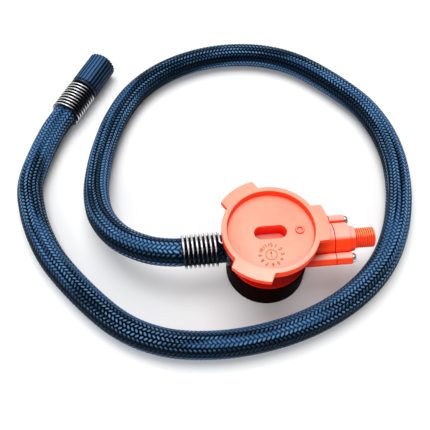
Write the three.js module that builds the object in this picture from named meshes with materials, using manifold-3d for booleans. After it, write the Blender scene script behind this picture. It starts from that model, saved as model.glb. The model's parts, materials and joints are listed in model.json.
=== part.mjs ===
// Valve head with a braided filling hose. Millimetres, +Z up.
//
// The head stands on its screw collar: a dished top plate with three bayonet lugs, an air inlet
// with a threaded nipple along +X and the hose outlet along -X. The hose leaves inside a wound
// strain relief, comes down to the surface that the head stands on and lies round the head in one
// open spiral. It ends in a ribbed nut that screws onto a tyre valve.
import * as THREE from "three";
import { mergeVertices } from "three/addons/utils/BufferGeometryUtils.js";
import Module from "manifold-3d";

const wasm = await Module();
wasm.setup();

// ---------------------------------------------------------------- driving dimensions
// Gaps
const faceGap = 0.3; // between two pieces that meet face to face
const sleeveGap = 0.3; // round a piece that sits in a bore
const floorGap = 0.1; // under the hose and its connector
const overcut = 1.0; // how far a cut runs past the face that it opens
const trim = 0.1; // how far a trimming shape stands outside what it leaves whole

// Top plate
const headHeight = 32.5;
const plateRadius = 18.0;
const plateEdge = 3.5;
const plateWeb = 1.5; // floor of the dish
const rimWidth = 2.2;
const dishDepth = 3.0;
const edgeBevel = 0.4;
const underBevel = 1.0;
const lugRadius = 21.3;
const lugThickness = 2.3;
const lugSpan = 41; // degrees of its outer side; its two ends are parallel
const lugCount = 3;
const lugTurn = 2.5; // degrees from +X to the middle of the first lug
const slotLength = 12.2;
const slotWidth = 5.5;
const slotDepth = 6.0; // below the floor of the dish
const keyRingOffset = 10.8;
const keyRingRadius = 1.6;
const keyRingWall = 0.5;
const keyRingHeight = 0.5;

// Neck, flange and spigot
const neckRadius = 10.2;
const flangeInset = 0.6; // behind the side of the screw collar
const flangeEdge = 0.7;
const flareHeight = 5.0;
const flareSteps = 5;
const spigotInset = 4.4; // inside the collar's bore
const spigotWall = 1.6; // beside the check valve's bore
const spigotBottom = 6.2; // above the surface that the collar stands on

// Screw collar and what it holds
const collarRadius = 15.8;
const collarHeight = 12.6;
const collarTopWall = 2.1;
const collarWall = 2.6;
const collarBevel = 0.5;
const threadDepth = 0.8;
const threadPitch = 2.6;
const threadTurns = 3;
const retainerThickness = 2.0;
const retainerSideGap = 1.0; // to the collar's bore
const neckSealThickness = 1.5;
const neckSealSideGap = 1.2; // to the collar's bore

// Ports
const portHeight = 19.5;
const portRadius = 6.35;
const channelRadius = 1.7;
const outletFace = 14.2; // from the head's axis
const inletFace = 24.1;

// Inlet cap, its screws and seal
const capLength = 5.9;
const capBevel = 0.5;
const stepLength = 2.3;
const stepRadius = 5.1;
const stepTaper = 0.3;
const nippleRadius = 3.85;
const nippleLength = 7.8;
const nippleThreads = 9;
const nippleThreadDepth = 0.4;
const nippleBore = 2.1;
const screwOffset = 8.15;
const screwBossRadius = 2.3;
const screwRadius = 1.1;
const screwReach = 9.0; // into the body
const screwHeadRadius = 1.8;
const screwHeadHeight = 1.4;
const screwRecessRadius = 0.8;
const screwRecessDepth = 0.7;
const screwCrown = 0.7; // of the head's radius, where its round ends
const sealCord = 1.1; // thickness of both port seals
const inletSealRadius = 3.4; // to the middle of its cord
const outletSealRadius = 3.9;

// Check valve in the inlet's upright channel
const valveBore = 2.6;
const seatHeight = 15.6;
const poppetRadius = 2.2;
const poppetThickness = 1.1;
const poppetStemRadius = 0.7;
const poppetStemLength = 2.2;
const poppetSealThickness = 0.7;
const poppetSealRadius = 2.1;
const poppetSealHole = 0.75;
const poppetNose = 0.55; // radius of the nose that holds the seal
const plugThickness = 1.3;
const plugHole = 0.6;
const plugHoleOffset = 1.4;
const plugHoleCount = 4;
const returnWire = 0.45;
const returnRadius = 1.6; // to the middle of the wire
const returnTurns = 3;
const returnEnds = 3.5; // wires of height that the spring's two ends take

// Hose and its fittings
const hoseDiameter = 10.8;
const hoseBore = 5.4;
const hoseSides = 12;
const hoseBoreSides = 8;
const hoseSteps = 60;
const straightRun = 2; // of hose past the free end of each strain relief
const settleRun = 12; // past the far one, where the hose is half way down to where it lies
const ferruleLength = 0.9;
const ferruleRadius = 6.5;
const barbFlangeRadius = 5.5;
const barbFlangeLength = 0.7;
const barbShankRadius = 3.0;
const barbShankLength = 7.0;
const barbTailLength = 13.6;
const barbRidge = 0.3;
const barbRidgeRise = 0.3; // along the tail, up to the ridge's crest
const barbRidgeLength = 1.9; // with its long slope
const barbRidgePitch = 2.4;
const barbRidges = 4;
const barbBore = 1.5;
const barbWall = 0.8;

// Wound strain reliefs
const reliefWire = 1.0;
const reliefGap = 0.3; // round the hose
const reliefPitch = 1.68;
const nearTurns = 8.5;
const farTurns = 8.5;

// Connector at the far end of the hose
const nutRadius = 6.6;
const nutLength = 18.0;
const nutRibs = 24;
const nutRibDepth = 0.5;
const nutBevel = 0.6;
const nutBackWall = 2.2; // between its chamber and the recess for the stem's flange
const nutThreadRadius = 3.95;
const nutThreadDepth = 8.0;
const nutChamberRadius = 4.6;
const stemRadius = 2.9;
const stemFlangeRadius = 4.6;
const stemHeadRadius = 3.9;
const clipRadius = 3.7;
const clipThickness = 0.7;
const clipOpening = 60; // degrees
const nutSealThickness = 1.6;
const nutSealHole = 1.9;
const pinRadius = 0.7;
const pinLength = 5.0;
const pinHeadRadius = 1.3;
const pinHeadLength = 0.8;
const pinLegs = 3;
const pinNotch = 0.45;
const pinSink = 1.0; // of its head, behind the face of the stem
const farPlace = [-65.2, 114.1]; // middle of the nut's mouth, from the head's axis
const farTurn = 61; // degrees from +X to the way that the mouth faces

// Where the hose lies, from the head's axis; each row is x, y and the height of its middle line
const lieHeight = hoseDiameter / 2 + floorGap;
const laid = [
  [-45.2, 2.7, 18.2],
  [-56.4, 10.2, 15.8],
  [-64.0, 21.6, 12.7],
  [-67.0, 35.0, 9.4],
  [-66.8, 48.5, 7.0],
  [-64.6, 62.5, lieHeight],
  [-59.3, 78.5, lieHeight],
  [-50.7, 93.5, lieHeight],
  [-38.0, 105.0, lieHeight],
  [-21.0, 112.7, lieHeight],
  [-3.0, 115.2, lieHeight],
  [15.0, 112.6, lieHeight],
  [31.0, 104.4, lieHeight],
  [53.8, 79.5, lieHeight],
  [60.4, 65.0, lieHeight],
  [63.0, 50.0, lieHeight],
  [62.4, 35.0, lieHeight],
  [59.2, 20.5, lieHeight],
  [54.4, 8.0, lieHeight],
  [47.4, -3.5, lieHeight],
  [38.5, -12.8, lieHeight],
  [26.5, -21.0, lieHeight],
  [11.5, -27.5, lieHeight],
  [-5.5, -31.4, lieHeight],
  [-24.5, -32.4, lieHeight],
  [-43.0, -29.3, lieHeight],
  [-59.2, -20.6, lieHeight],
  [-82.6, 5.4, lieHeight],
  [-90.2, 19.5, lieHeight],
  [-94.6, 33.5, lieHeight],
  [-96.0, 47.0, lieHeight],
];

// How finely round pieces are cut
const roundSides = 40;
const middleSides = 28;
const smallSides = 18;
const tinySides = 12;
const sealSides = 6;
const wireSides = 5;
const wireSteps = 8;

// ---------------------------------------------------------------- worked out
const dishFloor = headHeight - dishDepth;
const plateUnder = headHeight - plateEdge;
const flangeBottom = collarHeight + faceGap;
const flangeRadius = collarRadius - flangeInset;
const collarBore = collarRadius - collarWall;
const spigotRadius = collarBore - spigotInset;
const downOffset = spigotRadius - spigotWall - valveBore; // each upright channel, from the axis
const retainerRadius = collarBore - retainerSideGap;
const neckSealRadius = collarBore - neckSealSideGap;
const retainerTop = collarHeight - collarTopWall - faceGap;
const neckSealTop = retainerTop - retainerThickness - faceGap;
const hoseRadius = hoseDiameter / 2;
const wireRadius = reliefWire / 2;
const reliefRadius = hoseRadius + reliefGap + wireRadius; // to the middle of the wire
const reliefTail = 2 * reliefWire; // the bend into the ferrule and the straight run after it
const nearReliefLength = nearTurns * reliefPitch + reliefTail;
const farReliefLength = farTurns * reliefPitch + reliefTail;
const connectorHeight = Math.max(reliefRadius + wireRadius, nutRadius) + floorGap;
const ferruleBack = outletFace + 2 * faceGap + barbFlangeLength; // nearer face of the near ferrule
const reliefBack = ferruleBack + ferruleLength + faceGap; // where the near strain relief starts
const capFace = inletFace + faceGap;
const capEnd = capFace + capLength;
const nippleEnd = capEnd + stepLength + nippleLength;
const barbTip = outletFace + faceGap + barbFlangeLength + barbTailLength;
const headMiddle = (nippleEnd - barbTip) / 2; // middle of the head with its barb, from its axis
const nutRecess = barbFlangeLength + faceGap; // holds the stem's flange, flush with the nut's back
const farFerruleFront = nutLength + faceGap;
const farReliefFront = farFerruleFront + ferruleLength + faceGap;

// ---------------------------------------------------------------- finishes
const finish = (color, roughness, metalness) => ({ color, roughness, metalness });
const orangePlastic = finish(0xff5a2c, 0.38, 0);
const darkPlastic = finish(0x1c0f12, 0.4, 0);
const springSteel = finish(0xd8d8d6, 0.22, 1);
const zincSteel = finish(0xc8cacb, 0.3, 1);
const darkSteel = finish(0x2b3038, 0.35, 0.8);
const brass = finish(0xc79a4b, 0.3, 1);
const blackRubber = finish(0x151517, 0.75, 0);
const braidTextile = finish(0x141b2a, 0.8, 0);
const satinBlack = finish(0x171c26, 0.5, 0);
const paleNylon = finish(0xe6e2d8, 0.5, 0);

// ---------------------------------------------------------------- shapes
const radians = (degrees) => THREE.MathUtils.degToRad(degrees);

// A closed geometry as a solid with its faces pointing out.
function solidOf(geometry) {
  const plain = geometry.clone();
  plain.deleteAttribute("normal");
  plain.deleteAttribute("uv");
  const merged = mergeVertices(plain, 1e-4);
  const corner = (i) => new THREE.Vector3().fromBufferAttribute(merged.attributes.position, i);
  const triangles = [];
  let volume = 0;
  for (let i = 0; i < merged.index.count; i += 3) {
    const [a, b, c] = [0, 1, 2].map((k) => merged.index.getX(i + k));
    if (a === b || b === c || c === a) continue;
    triangles.push([a, b, c]);
    volume += corner(a).dot(corner(b).cross(corner(c)));
  }
  const outward = volume > 0 ? triangles : triangles.map(([a, b, c]) => [a, c, b]);
  return new wasm.Manifold(
    new wasm.Mesh({
      numProp: 3,
      vertProperties: Float32Array.from(merged.attributes.position.array),
      triVerts: Uint32Array.from(outward.flat()),
    }),
  );
}

// A solid as a geometry.
function geometryOf(solid) {
  const mesh = solid.getMesh();
  const geometry = new THREE.BufferGeometry();
  geometry.setAttribute("position", new THREE.BufferAttribute(Float32Array.from(mesh.vertProperties), 3));
  geometry.setIndex(new THREE.BufferAttribute(Uint32Array.from(mesh.triVerts), 1));
  geometry.computeVertexNormals();
  return geometry;
}

const joined = (first, ...rest) => rest.reduce((whole, next) => whole.add(next), first);
const cutBy = (first, ...rest) => rest.reduce((whole, next) => whole.subtract(next), first);

// A profile of [radius, place] turned about Z.
function turnedUp(profile, sides = roundSides) {
  const points = profile.map(([radius, place]) => new THREE.Vector2(radius, place));
  return solidOf(new THREE.LatheGeometry(points, sides).rotateX(Math.PI / 2));
}

// A profile of [radius, place] turned about X.
function turnedAlong(profile, sides = roundSides) {
  const points = profile.map(([radius, place]) => new THREE.Vector2(radius, place));
  return solidOf(new THREE.LatheGeometry(points, sides).rotateZ(-Math.PI / 2));
}

const rod = (radius, from, to) => [[0, from], [radius, from], [radius, to], [0, to]];
const sleeve = (inner, outer, from, to) => [
  [inner, from], [outer, from], [outer, to], [inner, to], [inner, from],
];

// A closed round profile for a seal ring.
function ringCord(middle, thickness, place) {
  return Array.from({ length: sealSides + 1 }, (_, i) => {
    const turn = ((i % sealSides) / sealSides) * 2 * Math.PI;
    return [middle + (Math.cos(turn) * thickness) / 2, place + (Math.sin(turn) * thickness) / 2];
  });
}

// An outline in XY, from one height to another.
function raised(shape, bottom, top, curveSegments = 12) {
  const options = { depth: top - bottom, bevelEnabled: false, curveSegments };
  return solidOf(new THREE.ExtrudeGeometry(shape, options).translate(0, 0, bottom));
}

// A slot with round ends, its long way along X.
function roundEndedSlot(length, width) {
  const shape = new THREE.Shape();
  const half = (length - width) / 2;
  shape.absarc(half, 0, width / 2, -Math.PI / 2, Math.PI / 2);
  shape.absarc(-half, 0, width / 2, Math.PI / 2, (3 * Math.PI) / 2);
  return shape;
}

// A piece of a ring between two radii, centred on an angle in degrees.
function ringSector(inner, outer, middle, span) {
  const [from, to] = [radians(middle - span / 2), radians(middle + span / 2)];
  const shape = new THREE.Shape();
  shape.absarc(0, 0, outer, from, to, false);
  shape.absarc(0, 0, inner, to, from, true);
  return shape;
}

// A many-sided ring of points for a section.
function sectionRing(radius, sides) {
  return Array.from({ length: sides }, (_, i) => {
    const turn = ((i + 0.5) / sides) * 2 * Math.PI;
    return new THREE.Vector2(radius * Math.cos(turn), radius * Math.sin(turn));
  });
}

// The middle line of a wire wound about X. It starts free, with one straight wire diameter, and
// ends in a quarter bend and a straight run along +X. Its corners stand as far outside the true
// radius as the middles of its sides stand inside it, and a side is lowest.
function woundLine({ radius, wire, pitch, turns }) {
  const points = [];
  const halfStep = Math.PI / wireSteps;
  const corner = radius / Math.sqrt(Math.cos(halfStep));
  const onHelix = (turn) => {
    const angle = halfStep + turn * 2 * Math.PI;
    return new THREE.Vector3(pitch * turn, corner * Math.cos(angle), corner * Math.sin(angle));
  };
  const heading = (turn) => onHelix(turn + 1e-3).sub(onHelix(turn - 1e-3)).normalize();
  points.push(onHelix(0).addScaledVector(heading(0), -wire));
  const steps = Math.round(turns * wireSteps);
  for (let i = 0; i <= steps; i += 1) points.push(onHelix((i / steps) * turns));
  const bendRadius = wire;
  const across = heading(turns).setX(0).normalize();
  const last = points.at(-1);
  for (const part of [0.5, 1]) {
    const angle = (part * Math.PI) / 2;
    const bend = last.clone().addScaledVector(across, bendRadius * Math.sin(angle));
    points.push(bend.setX(last.x + bendRadius * (1 - Math.cos(angle))));
  }
  points.push(points.at(-1).clone().setX(points.at(-1).x + wire));
  return points;
}

// A wire along a line of points: one unbroken tube with flat ends.
function wireAlong(line, wire) {
  const rings = [];
  const forward = (i) => {
    const [before, after] = [line[Math.max(i - 1, 0)], line[Math.min(i + 1, line.length - 1)]];
    return after.clone().sub(before).normalize();
  };
  let side = new THREE.Vector3(0, 1, 0);
  line.forEach((place, i) => {
    const tangent = forward(i);
    if (i === 0 && Math.abs(tangent.y) > 0.9) side.set(0, 0, 1);
    side = side.addScaledVector(tangent, -side.dot(tangent)).normalize();
    const other = tangent.clone().cross(side);
    for (let k = 0; k < wireSides; k += 1) {
      const angle = (k / wireSides) * 2 * Math.PI;
      const point = place.clone().addScaledVector(side, (Math.cos(angle) * wire) / 2);
      rings.push(point.addScaledVector(other, (Math.sin(angle) * wire) / 2));
    }
  });
  const triangles = [];
  for (let i = 0; i + 1 < line.length; i += 1) {
    for (let k = 0; k < wireSides; k += 1) {
      const next = (k + 1) % wireSides;
      const [a, b] = [i * wireSides + k, i * wireSides + next];
      triangles.push(a, b, b + wireSides, a, b + wireSides, a + wireSides);
    }
  }
  const final = (line.length - 1) * wireSides;
  for (let k = 1; k + 1 < wireSides; k += 1) {
    triangles.push(0, k + 1, k, final, final + k, final + k + 1);
  }
  const geometry = new THREE.BufferGeometry().setFromPoints(rings);
  geometry.setIndex(triangles);
  geometry.computeVertexNormals();
  return geometry;
}

// The least gap of a wound wire to itself, from points set closely along its line.
function leastGap(line, wire) {
  const fine = new THREE.CatmullRomCurve3(line).getSpacedPoints(line.length * 4);
  const step = fine[0].distanceTo(fine[1]);
  const apart = Math.ceil((3 * wire) / step);
  let least = Infinity;
  for (let i = 0; i < fine.length; i += 1) {
    for (let j = i + apart; j < fine.length; j += 1) {
      least = Math.min(least, fine[i].distanceTo(fine[j]));
    }
  }
  return least - wire;
}

function woundWire(name, options) {
  const line = woundLine(options);
  console.log(`${name}: least gap to itself ${leastGap(line, options.wire).toFixed(2)} mm`);
  return wireAlong(line, options.wire);
}

// A named mesh with its own material.
function piece(name, shape, look) {
  const geometry = shape.isBufferGeometry ? shape : geometryOf(shape);
  const mesh = new THREE.Mesh(geometry, new THREE.MeshStandardMaterial(look));
  mesh.name = name;
  return mesh;
}

// ---------------------------------------------------------------- valve body
// Port parts are turned about X and lifted to the ports' height.
const atPort = (solid) => solid.translate(0, 0, portHeight);
const atScrew = (solid, side) => solid.translate(0, side * screwOffset, portHeight);

function plateAndNeck() {
  const flare = [];
  for (let i = 0; i <= flareSteps; i += 1) {
    const turn = (i / flareSteps) * (Math.PI / 2);
    const radius = flangeRadius - (flangeRadius - neckRadius) * Math.sin(turn);
    flare.push([radius, flangeBottom + flangeEdge + flareHeight * (1 - Math.cos(turn))]);
  }
  const plateBottom = dishFloor - plateWeb;
  return turnedUp([
    [0, spigotBottom],
    [spigotRadius, spigotBottom],
    [spigotRadius, flangeBottom],
    [flangeRadius, flangeBottom],
    ...flare,
    [neckRadius, plateBottom - underBevel],
    [neckRadius + underBevel, plateBottom],
    [plateRadius - rimWidth, plateBottom],
    [plateRadius, plateUnder],
    [plateRadius, headHeight - edgeBevel],
    [plateRadius - edgeBevel, headHeight],
    [plateRadius - rimWidth, headHeight],
    [plateRadius - rimWidth, dishFloor],
    [0, dishFloor],
  ]);
}

function lugs() {
  const inner = plateRadius - rimWidth / 2;
  const halfOuter = radians(lugSpan / 2);
  const halfInner = Math.asin((lugRadius * Math.sin(halfOuter)) / inner);
  return Array.from({ length: lugCount }, (_, i) => {
    const middle = radians(lugTurn + (i * 360) / lugCount);
    const outline = new THREE.Shape();
    outline.absarc(0, 0, lugRadius, middle - halfOuter, middle + halfOuter, false);
    outline.absarc(0, 0, inner, middle + halfInner, middle - halfInner, true);
    return raised(outline, headHeight - lugThickness, headHeight);
  });
}

function keyRing() {
  const inner = keyRingRadius - keyRingWall;
  const profile = sleeve(inner, keyRingRadius, dishFloor - keyRingHeight, dishFloor + keyRingHeight);
  return turnedUp(profile, smallSides).translate(keyRingOffset, 0, 0);
}

function valveBody() {
  const sealRoom = (radius) => radius + sealCord / 2 + sleeveGap;
  const sealDepth = sealCord + faceGap;
  const inletTube = atPort(turnedAlong(rod(portRadius, 0, inletFace)));
  const outletTube = atPort(turnedAlong(rod(portRadius, -outletFace, 0)));
  const bosses = [-1, 1].map((side) =>
    atScrew(turnedAlong(rod(screwBossRadius, neckRadius / 2, inletFace), smallSides), side));
  const whole = joined(plateAndNeck(), ...lugs(), keyRing(), inletTube, outletTube, ...bosses);
  const slot = raised(roundEndedSlot(slotLength, slotWidth), dishFloor - slotDepth, headHeight);
  const across = atPort(turnedAlong(rod(channelRadius, downOffset, inletFace + overcut), smallSides));
  const airDown = turnedUp(rod(channelRadius, seatHeight - overcut, portHeight), smallSides);
  const valveRoom = turnedUp(rod(valveBore, spigotBottom - overcut, seatHeight), smallSides);
  const fillAcross = atPort(turnedAlong(rod(channelRadius, -outletFace, -downOffset), smallSides));
  const fillDown = turnedUp(rod(channelRadius, spigotBottom - overcut, portHeight), smallSides);
  const shankFace = outletFace + overcut;
  const shankRoom = rod(barbShankRadius + sleeveGap, -shankFace, -outletFace + barbShankLength + faceGap);
  const inletSealRoom = rod(sealRoom(inletSealRadius), inletFace - sealDepth, inletFace + overcut);
  const outletSealRoom = rod(sealRoom(outletSealRadius), -shankFace, -outletFace + sealDepth);
  const screwRoom = rod(screwRadius + sleeveGap, inletFace - screwReach - faceGap, inletFace + overcut);
  return cutBy(
    whole,
    slot,
    across,
    airDown.translate(downOffset, 0, 0),
    valveRoom.translate(downOffset, 0, 0),
    fillAcross,
    fillDown.translate(-downOffset, 0, 0),
    atPort(turnedAlong(shankRoom, smallSides)),
    atPort(turnedAlong(inletSealRoom, smallSides)),
    atPort(turnedAlong(outletSealRoom, smallSides)),
    ...[-1, 1].map((side) => atScrew(turnedAlong(screwRoom, smallSides), side)),
  );
}

// ---------------------------------------------------------------- air inlet
function inletCap() {
  const threadPitchAlong = nippleLength / (nippleThreads + 0.5);
  const root = nippleRadius - nippleThreadDepth;
  const profile = [
    [0, capFace],
    [portRadius, capFace],
    [portRadius, capEnd - capBevel],
    [portRadius - capBevel, capEnd],
    [stepRadius, capEnd],
    [stepRadius - stepTaper, capEnd + stepLength],
    [root, capEnd + stepLength],
  ];
  for (let i = 0; i < nippleThreads; i += 1) {
    const start = capEnd + stepLength + (i + 0.5) * threadPitchAlong;
    profile.push([root, start], [nippleRadius, start + threadPitchAlong / 2]);
  }
  profile.push([root, nippleEnd], [0, nippleEnd]);
  const bosses = [-1, 1].map((side) =>
    atScrew(turnedAlong(rod(screwBossRadius, capFace, capEnd), smallSides), side));
  const hole = rod(screwRadius + sleeveGap, capFace - overcut, capEnd + overcut);
  return cutBy(
    joined(atPort(turnedAlong(profile, middleSides)), ...bosses),
    atPort(turnedAlong(rod(nippleBore, capFace - overcut, nippleEnd + overcut), smallSides)),
    ...[-1, 1].map((side) => atScrew(turnedAlong(hole, smallSides), side)),
  );
}

// A pan-head screw along X with a cross recess.
function inletScrew(side) {
  const under = capEnd + sleeveGap;
  const profile = [
    [0, inletFace - screwReach],
    [screwRadius, inletFace - screwReach],
    [screwRadius, under],
    [screwHeadRadius, under],
    [screwHeadRadius, under + screwHeadHeight / 2],
    [screwHeadRadius * screwCrown, under + screwHeadHeight],
    [0, under + screwHeadHeight],
  ];
  const arm = (wide, tall) => {
    const box = new THREE.BoxGeometry(2 * screwRecessDepth, wide, tall);
    return solidOf(box.translate(under + screwHeadHeight, 0, 0));
  };
  const [long, narrow] = [2 * screwRecessRadius, screwRecessRadius / 2];
  return atScrew(cutBy(turnedAlong(profile, tinySides), arm(long, narrow), arm(narrow, long)), side);
}

const inletSeal = () =>
  turnedAlong(ringCord(inletSealRadius, sealCord, inletFace - sealCord / 2), smallSides);

// ---------------------------------------------------------------- check valve
const poppetTop = seatHeight - faceGap - poppetSealThickness;
const plugTop = spigotBottom + plugThickness;

function checkPoppet() {
  const under = poppetTop - poppetThickness;
  return turnedUp([
    [0, under - poppetStemLength],
    [poppetStemRadius, under - poppetStemLength],
    [poppetStemRadius, under],
    [poppetRadius, under],
    [poppetRadius, poppetTop - faceGap],
    [poppetNose, poppetTop - faceGap],
    [poppetNose, poppetTop + poppetSealThickness],
    [0, poppetTop + poppetSealThickness],
  ], smallSides);
}

const poppetSeal = () =>
  turnedUp(sleeve(poppetSealHole, poppetSealRadius, poppetTop, poppetTop + poppetSealThickness), smallSides);

// The return spring stands on the plug and carries the poppet.
function returnSpring() {
  const room = poppetTop - poppetThickness - plugTop - 2 * faceGap;
  const pitch = (room - returnEnds * returnWire) / returnTurns;
  const options = { radius: returnRadius, wire: returnWire, pitch, turns: returnTurns };
  const geometry = woundWire("poppet_spring", options);
  return geometry.rotateY(-Math.PI / 2).translate(downOffset, 0, plugTop + faceGap + returnWire);
}

function checkPlug() {
  const disc = turnedUp(rod(valveBore - sleeveGap, spigotBottom, plugTop), smallSides);
  const holes = Array.from({ length: plugHoleCount }, (_, i) => {
    const angle = ((i + 0.5) / plugHoleCount) * 2 * Math.PI;
    const hole = turnedUp(rod(plugHole, spigotBottom - overcut, plugTop + overcut), tinySides);
    return hole.translate(plugHoleOffset * Math.cos(angle), plugHoleOffset * Math.sin(angle), 0);
  });
  return cutBy(disc, ...holes);
}

// ---------------------------------------------------------------- screw collar
function screwCollar() {
  const hole = spigotRadius + 3 * sleeveGap;
  const lip = collarHeight - collarTopWall;
  const profile = [
    [collarBore, 0],
    [collarRadius - collarBevel, 0],
    [collarRadius, collarBevel],
    [collarRadius, collarHeight - collarBevel],
    [collarRadius - collarBevel, collarHeight],
    [hole, collarHeight],
    [hole, lip],
    [collarBore, lip],
  ];
  for (let i = threadTurns; i > 0; i -= 1) {
    const middle = (i - 0.5) * threadPitch;
    profile.push([collarBore, middle + threadDepth], [collarBore - threadDepth, middle]);
    profile.push([collarBore, middle - threadDepth]);
  }
  profile.push([collarBore, 0]);
  return turnedUp(profile);
}

const collarRetainer = () =>
  turnedUp(
    sleeve(spigotRadius + 2 * sleeveGap, retainerRadius, retainerTop - retainerThickness, retainerTop),
    middleSides,
  );
const neckSeal = () =>
  turnedUp(
    sleeve(spigotRadius + 2 * sleeveGap, neckSealRadius, neckSealTop - neckSealThickness, neckSealTop),
    middleSides,
  );

// ---------------------------------------------------------------- hose end fittings
// A ridged tail that holds the hose, along +X from a flange at x = 0, with its bore cut later.
function barbTail() {
  const tail = hoseBore / 2 - sleeveGap - barbRidge;
  const start = barbFlangeLength + (barbTailLength - barbRidges * barbRidgePitch) / 2;
  const profile = [[tail, barbFlangeLength]];
  for (let i = 0; i < barbRidges; i += 1) {
    const place = start + i * barbRidgePitch;
    const crest = [tail + barbRidge, place + barbRidgeRise];
    profile.push([tail, place], crest, [tail, place + barbRidgeLength]);
  }
  profile.push([tail, barbFlangeLength + barbTailLength]);
  return profile;
}

function outletBarb() {
  const profile = [
    [barbBore, -barbShankLength - faceGap],
    [barbShankRadius, -barbShankLength - faceGap],
    [barbShankRadius, 0],
    [barbFlangeRadius, 0],
    [barbFlangeRadius, barbFlangeLength],
    ...barbTail(),
    [barbBore, barbFlangeLength + barbTailLength],
    [barbBore, -barbShankLength - faceGap],
  ];
  return turnedAlong(profile, smallSides);
}

const outletSeal = () => {
  const middle = -outletFace + (sealCord + faceGap) / 2;
  return turnedAlong(ringCord(outletSealRadius, sealCord, middle), smallSides);
};
const ferrule = () =>
  turnedAlong(sleeve(hoseRadius + sleeveGap, ferruleRadius, 0, ferruleLength), middleSides);

// ---------------------------------------------------------------- hose
function hoseRoute() {
  const far = (back, height) => new THREE.Vector3(
    farPlace[0] - back * Math.cos(radians(farTurn)),
    farPlace[1] - back * Math.sin(radians(farTurn)),
    height,
  );
  const near = (along) => new THREE.Vector3(-along, 0, portHeight);
  const nearEnd = reliefBack + nearReliefLength;
  const farEnd = farReliefFront + farReliefLength;
  return [
    near(ferruleBack),
    near((ferruleBack + nearEnd) / 2),
    near(nearEnd),
    near(nearEnd + straightRun),
    ...laid.map(([x, y, z]) => new THREE.Vector3(x, y, z)),
    far(farEnd + settleRun, (lieHeight + connectorHeight) / 2),
    far(farEnd + straightRun, connectorHeight),
    far(farEnd, connectorHeight),
    far((farEnd + farFerruleFront) / 2, connectorHeight),
    far(farFerruleFront, connectorHeight),
  ];
}

function hose() {
  const curve = new THREE.CatmullRomCurve3(hoseRoute(), false, "centripetal");
  curve.arcLengthDivisions = 1000;
  console.log(`hose: ${curve.getLength().toFixed(0)} mm along its middle line`);
  const section = new THREE.Shape(sectionRing(hoseRadius, hoseSides));
  section.holes.push(new THREE.Path(sectionRing(hoseBore / 2, hoseBoreSides)));
  return new THREE.ExtrudeGeometry(section, { extrudePath: curve, steps: hoseSteps, bevelEnabled: false });
}

// ---------------------------------------------------------------- tyre valve connector
// Its pieces lie along +X with the mouth of the nut at x = 0, so the hose is on the -X side.
const sealFront = -nutThreadDepth;
const chamberBack = -nutLength + nutRecess + nutBackWall;
const headFront = sealFront - nutSealThickness - 2 * faceGap; // front of the stem's head

function ribbedNut() {
  const outline = new THREE.Shape();
  const steps = nutRibs * 4;
  for (let i = 0; i < steps; i += 1) {
    const angle = (i / steps) * 2 * Math.PI;
    const radius = i % 4 < 2 ? nutRadius : nutRadius - nutRibDepth;
    outline[i === 0 ? "moveTo" : "lineTo"](radius * Math.cos(angle), radius * Math.sin(angle));
  }
  outline.closePath();
  const ribs = solidOf(
    new THREE.ExtrudeGeometry(outline, { depth: nutLength, bevelEnabled: false })
      .rotateY(Math.PI / 2)
      .translate(-nutLength, 0, 0),
  );
  const envelope = turnedAlong([
    [0, -nutLength],
    [nutRadius - nutBevel, -nutLength],
    [nutRadius + trim, -nutLength + nutBevel],
    [nutRadius + trim, -nutBevel],
    [nutRadius - nutBevel, 0],
    [0, 0],
  ]);
  return ribs.intersect(envelope);
}

function valveNut() {
  return cutBy(
    ribbedNut(),
    turnedAlong(rod(nutThreadRadius, sealFront - faceGap, overcut), smallSides),
    turnedAlong(rod(nutChamberRadius, chamberBack, sealFront), smallSides),
    turnedAlong(rod(stemRadius + sleeveGap, -nutLength - overcut, chamberBack + overcut), smallSides),
    turnedAlong(rod(stemFlangeRadius + sleeveGap, -nutLength - overcut, -nutLength + nutRecess), smallSides),
  );
}

function connectorStem() {
  const flange = -nutLength + barbFlangeLength; // its face towards the nut's mouth
  const clipBack = chamberBack + sleeveGap;
  const clipFront = clipBack + clipThickness + 2 * faceGap;
  const tail = barbTail().map(([radius, place]) => [radius, flange - place]).reverse();
  const profile = [
    [barbBore, flange - barbFlangeLength - barbTailLength],
    ...tail,
    [stemFlangeRadius, flange - barbFlangeLength],
    [stemFlangeRadius, flange],
    [stemRadius, flange],
    [stemRadius, clipBack],
    [stemRadius - barbWall, clipBack],
    [stemRadius - barbWall, clipFront],
    [stemHeadRadius, clipFront],
    [stemHeadRadius, headFront],
    [barbBore, headFront],
    [barbBore, flange - barbFlangeLength - barbTailLength],
  ];
  return turnedAlong(profile, smallSides);
}

// An open ring in the stem's groove, which keeps the nut on.
function nutClip() {
  const place = chamberBack + sleeveGap + faceGap;
  const inner = stemRadius - barbWall + sleeveGap;
  const shape = ringSector(inner, clipRadius, 0, 360 - clipOpening);
  return raised(shape, 0, clipThickness, tinySides).rotate([0, 90, 0]).translate(place, 0, 0);
}

const nutSeal = () =>
  turnedAlong(
    sleeve(nutSealHole, nutThreadRadius - sleeveGap, sealFront - nutSealThickness, sealFront),
    smallSides,
  );

// The pin that opens the tyre's valve core stands on three legs in the stem's bore.
function depressorPin() {
  const back = headFront - pinHeadLength - pinSink;
  const tip = back + pinHeadLength + pinLength;
  const head = turnedAlong(rod(pinHeadRadius, back, back + pinHeadLength), tinySides);
  const shank = turnedAlong(rod(pinRadius, back, tip), tinySides);
  const notches = Array.from({ length: pinLegs }, (_, i) => {
    const notch = turnedAlong(rod(pinNotch, back - overcut, back + pinHeadLength + trim), tinySides);
    const angle = (i / pinLegs) * 2 * Math.PI;
    return notch.translate(0, pinHeadRadius * Math.cos(angle), pinHeadRadius * Math.sin(angle));
  });
  return cutBy(joined(head, shank), ...notches);
}

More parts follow.
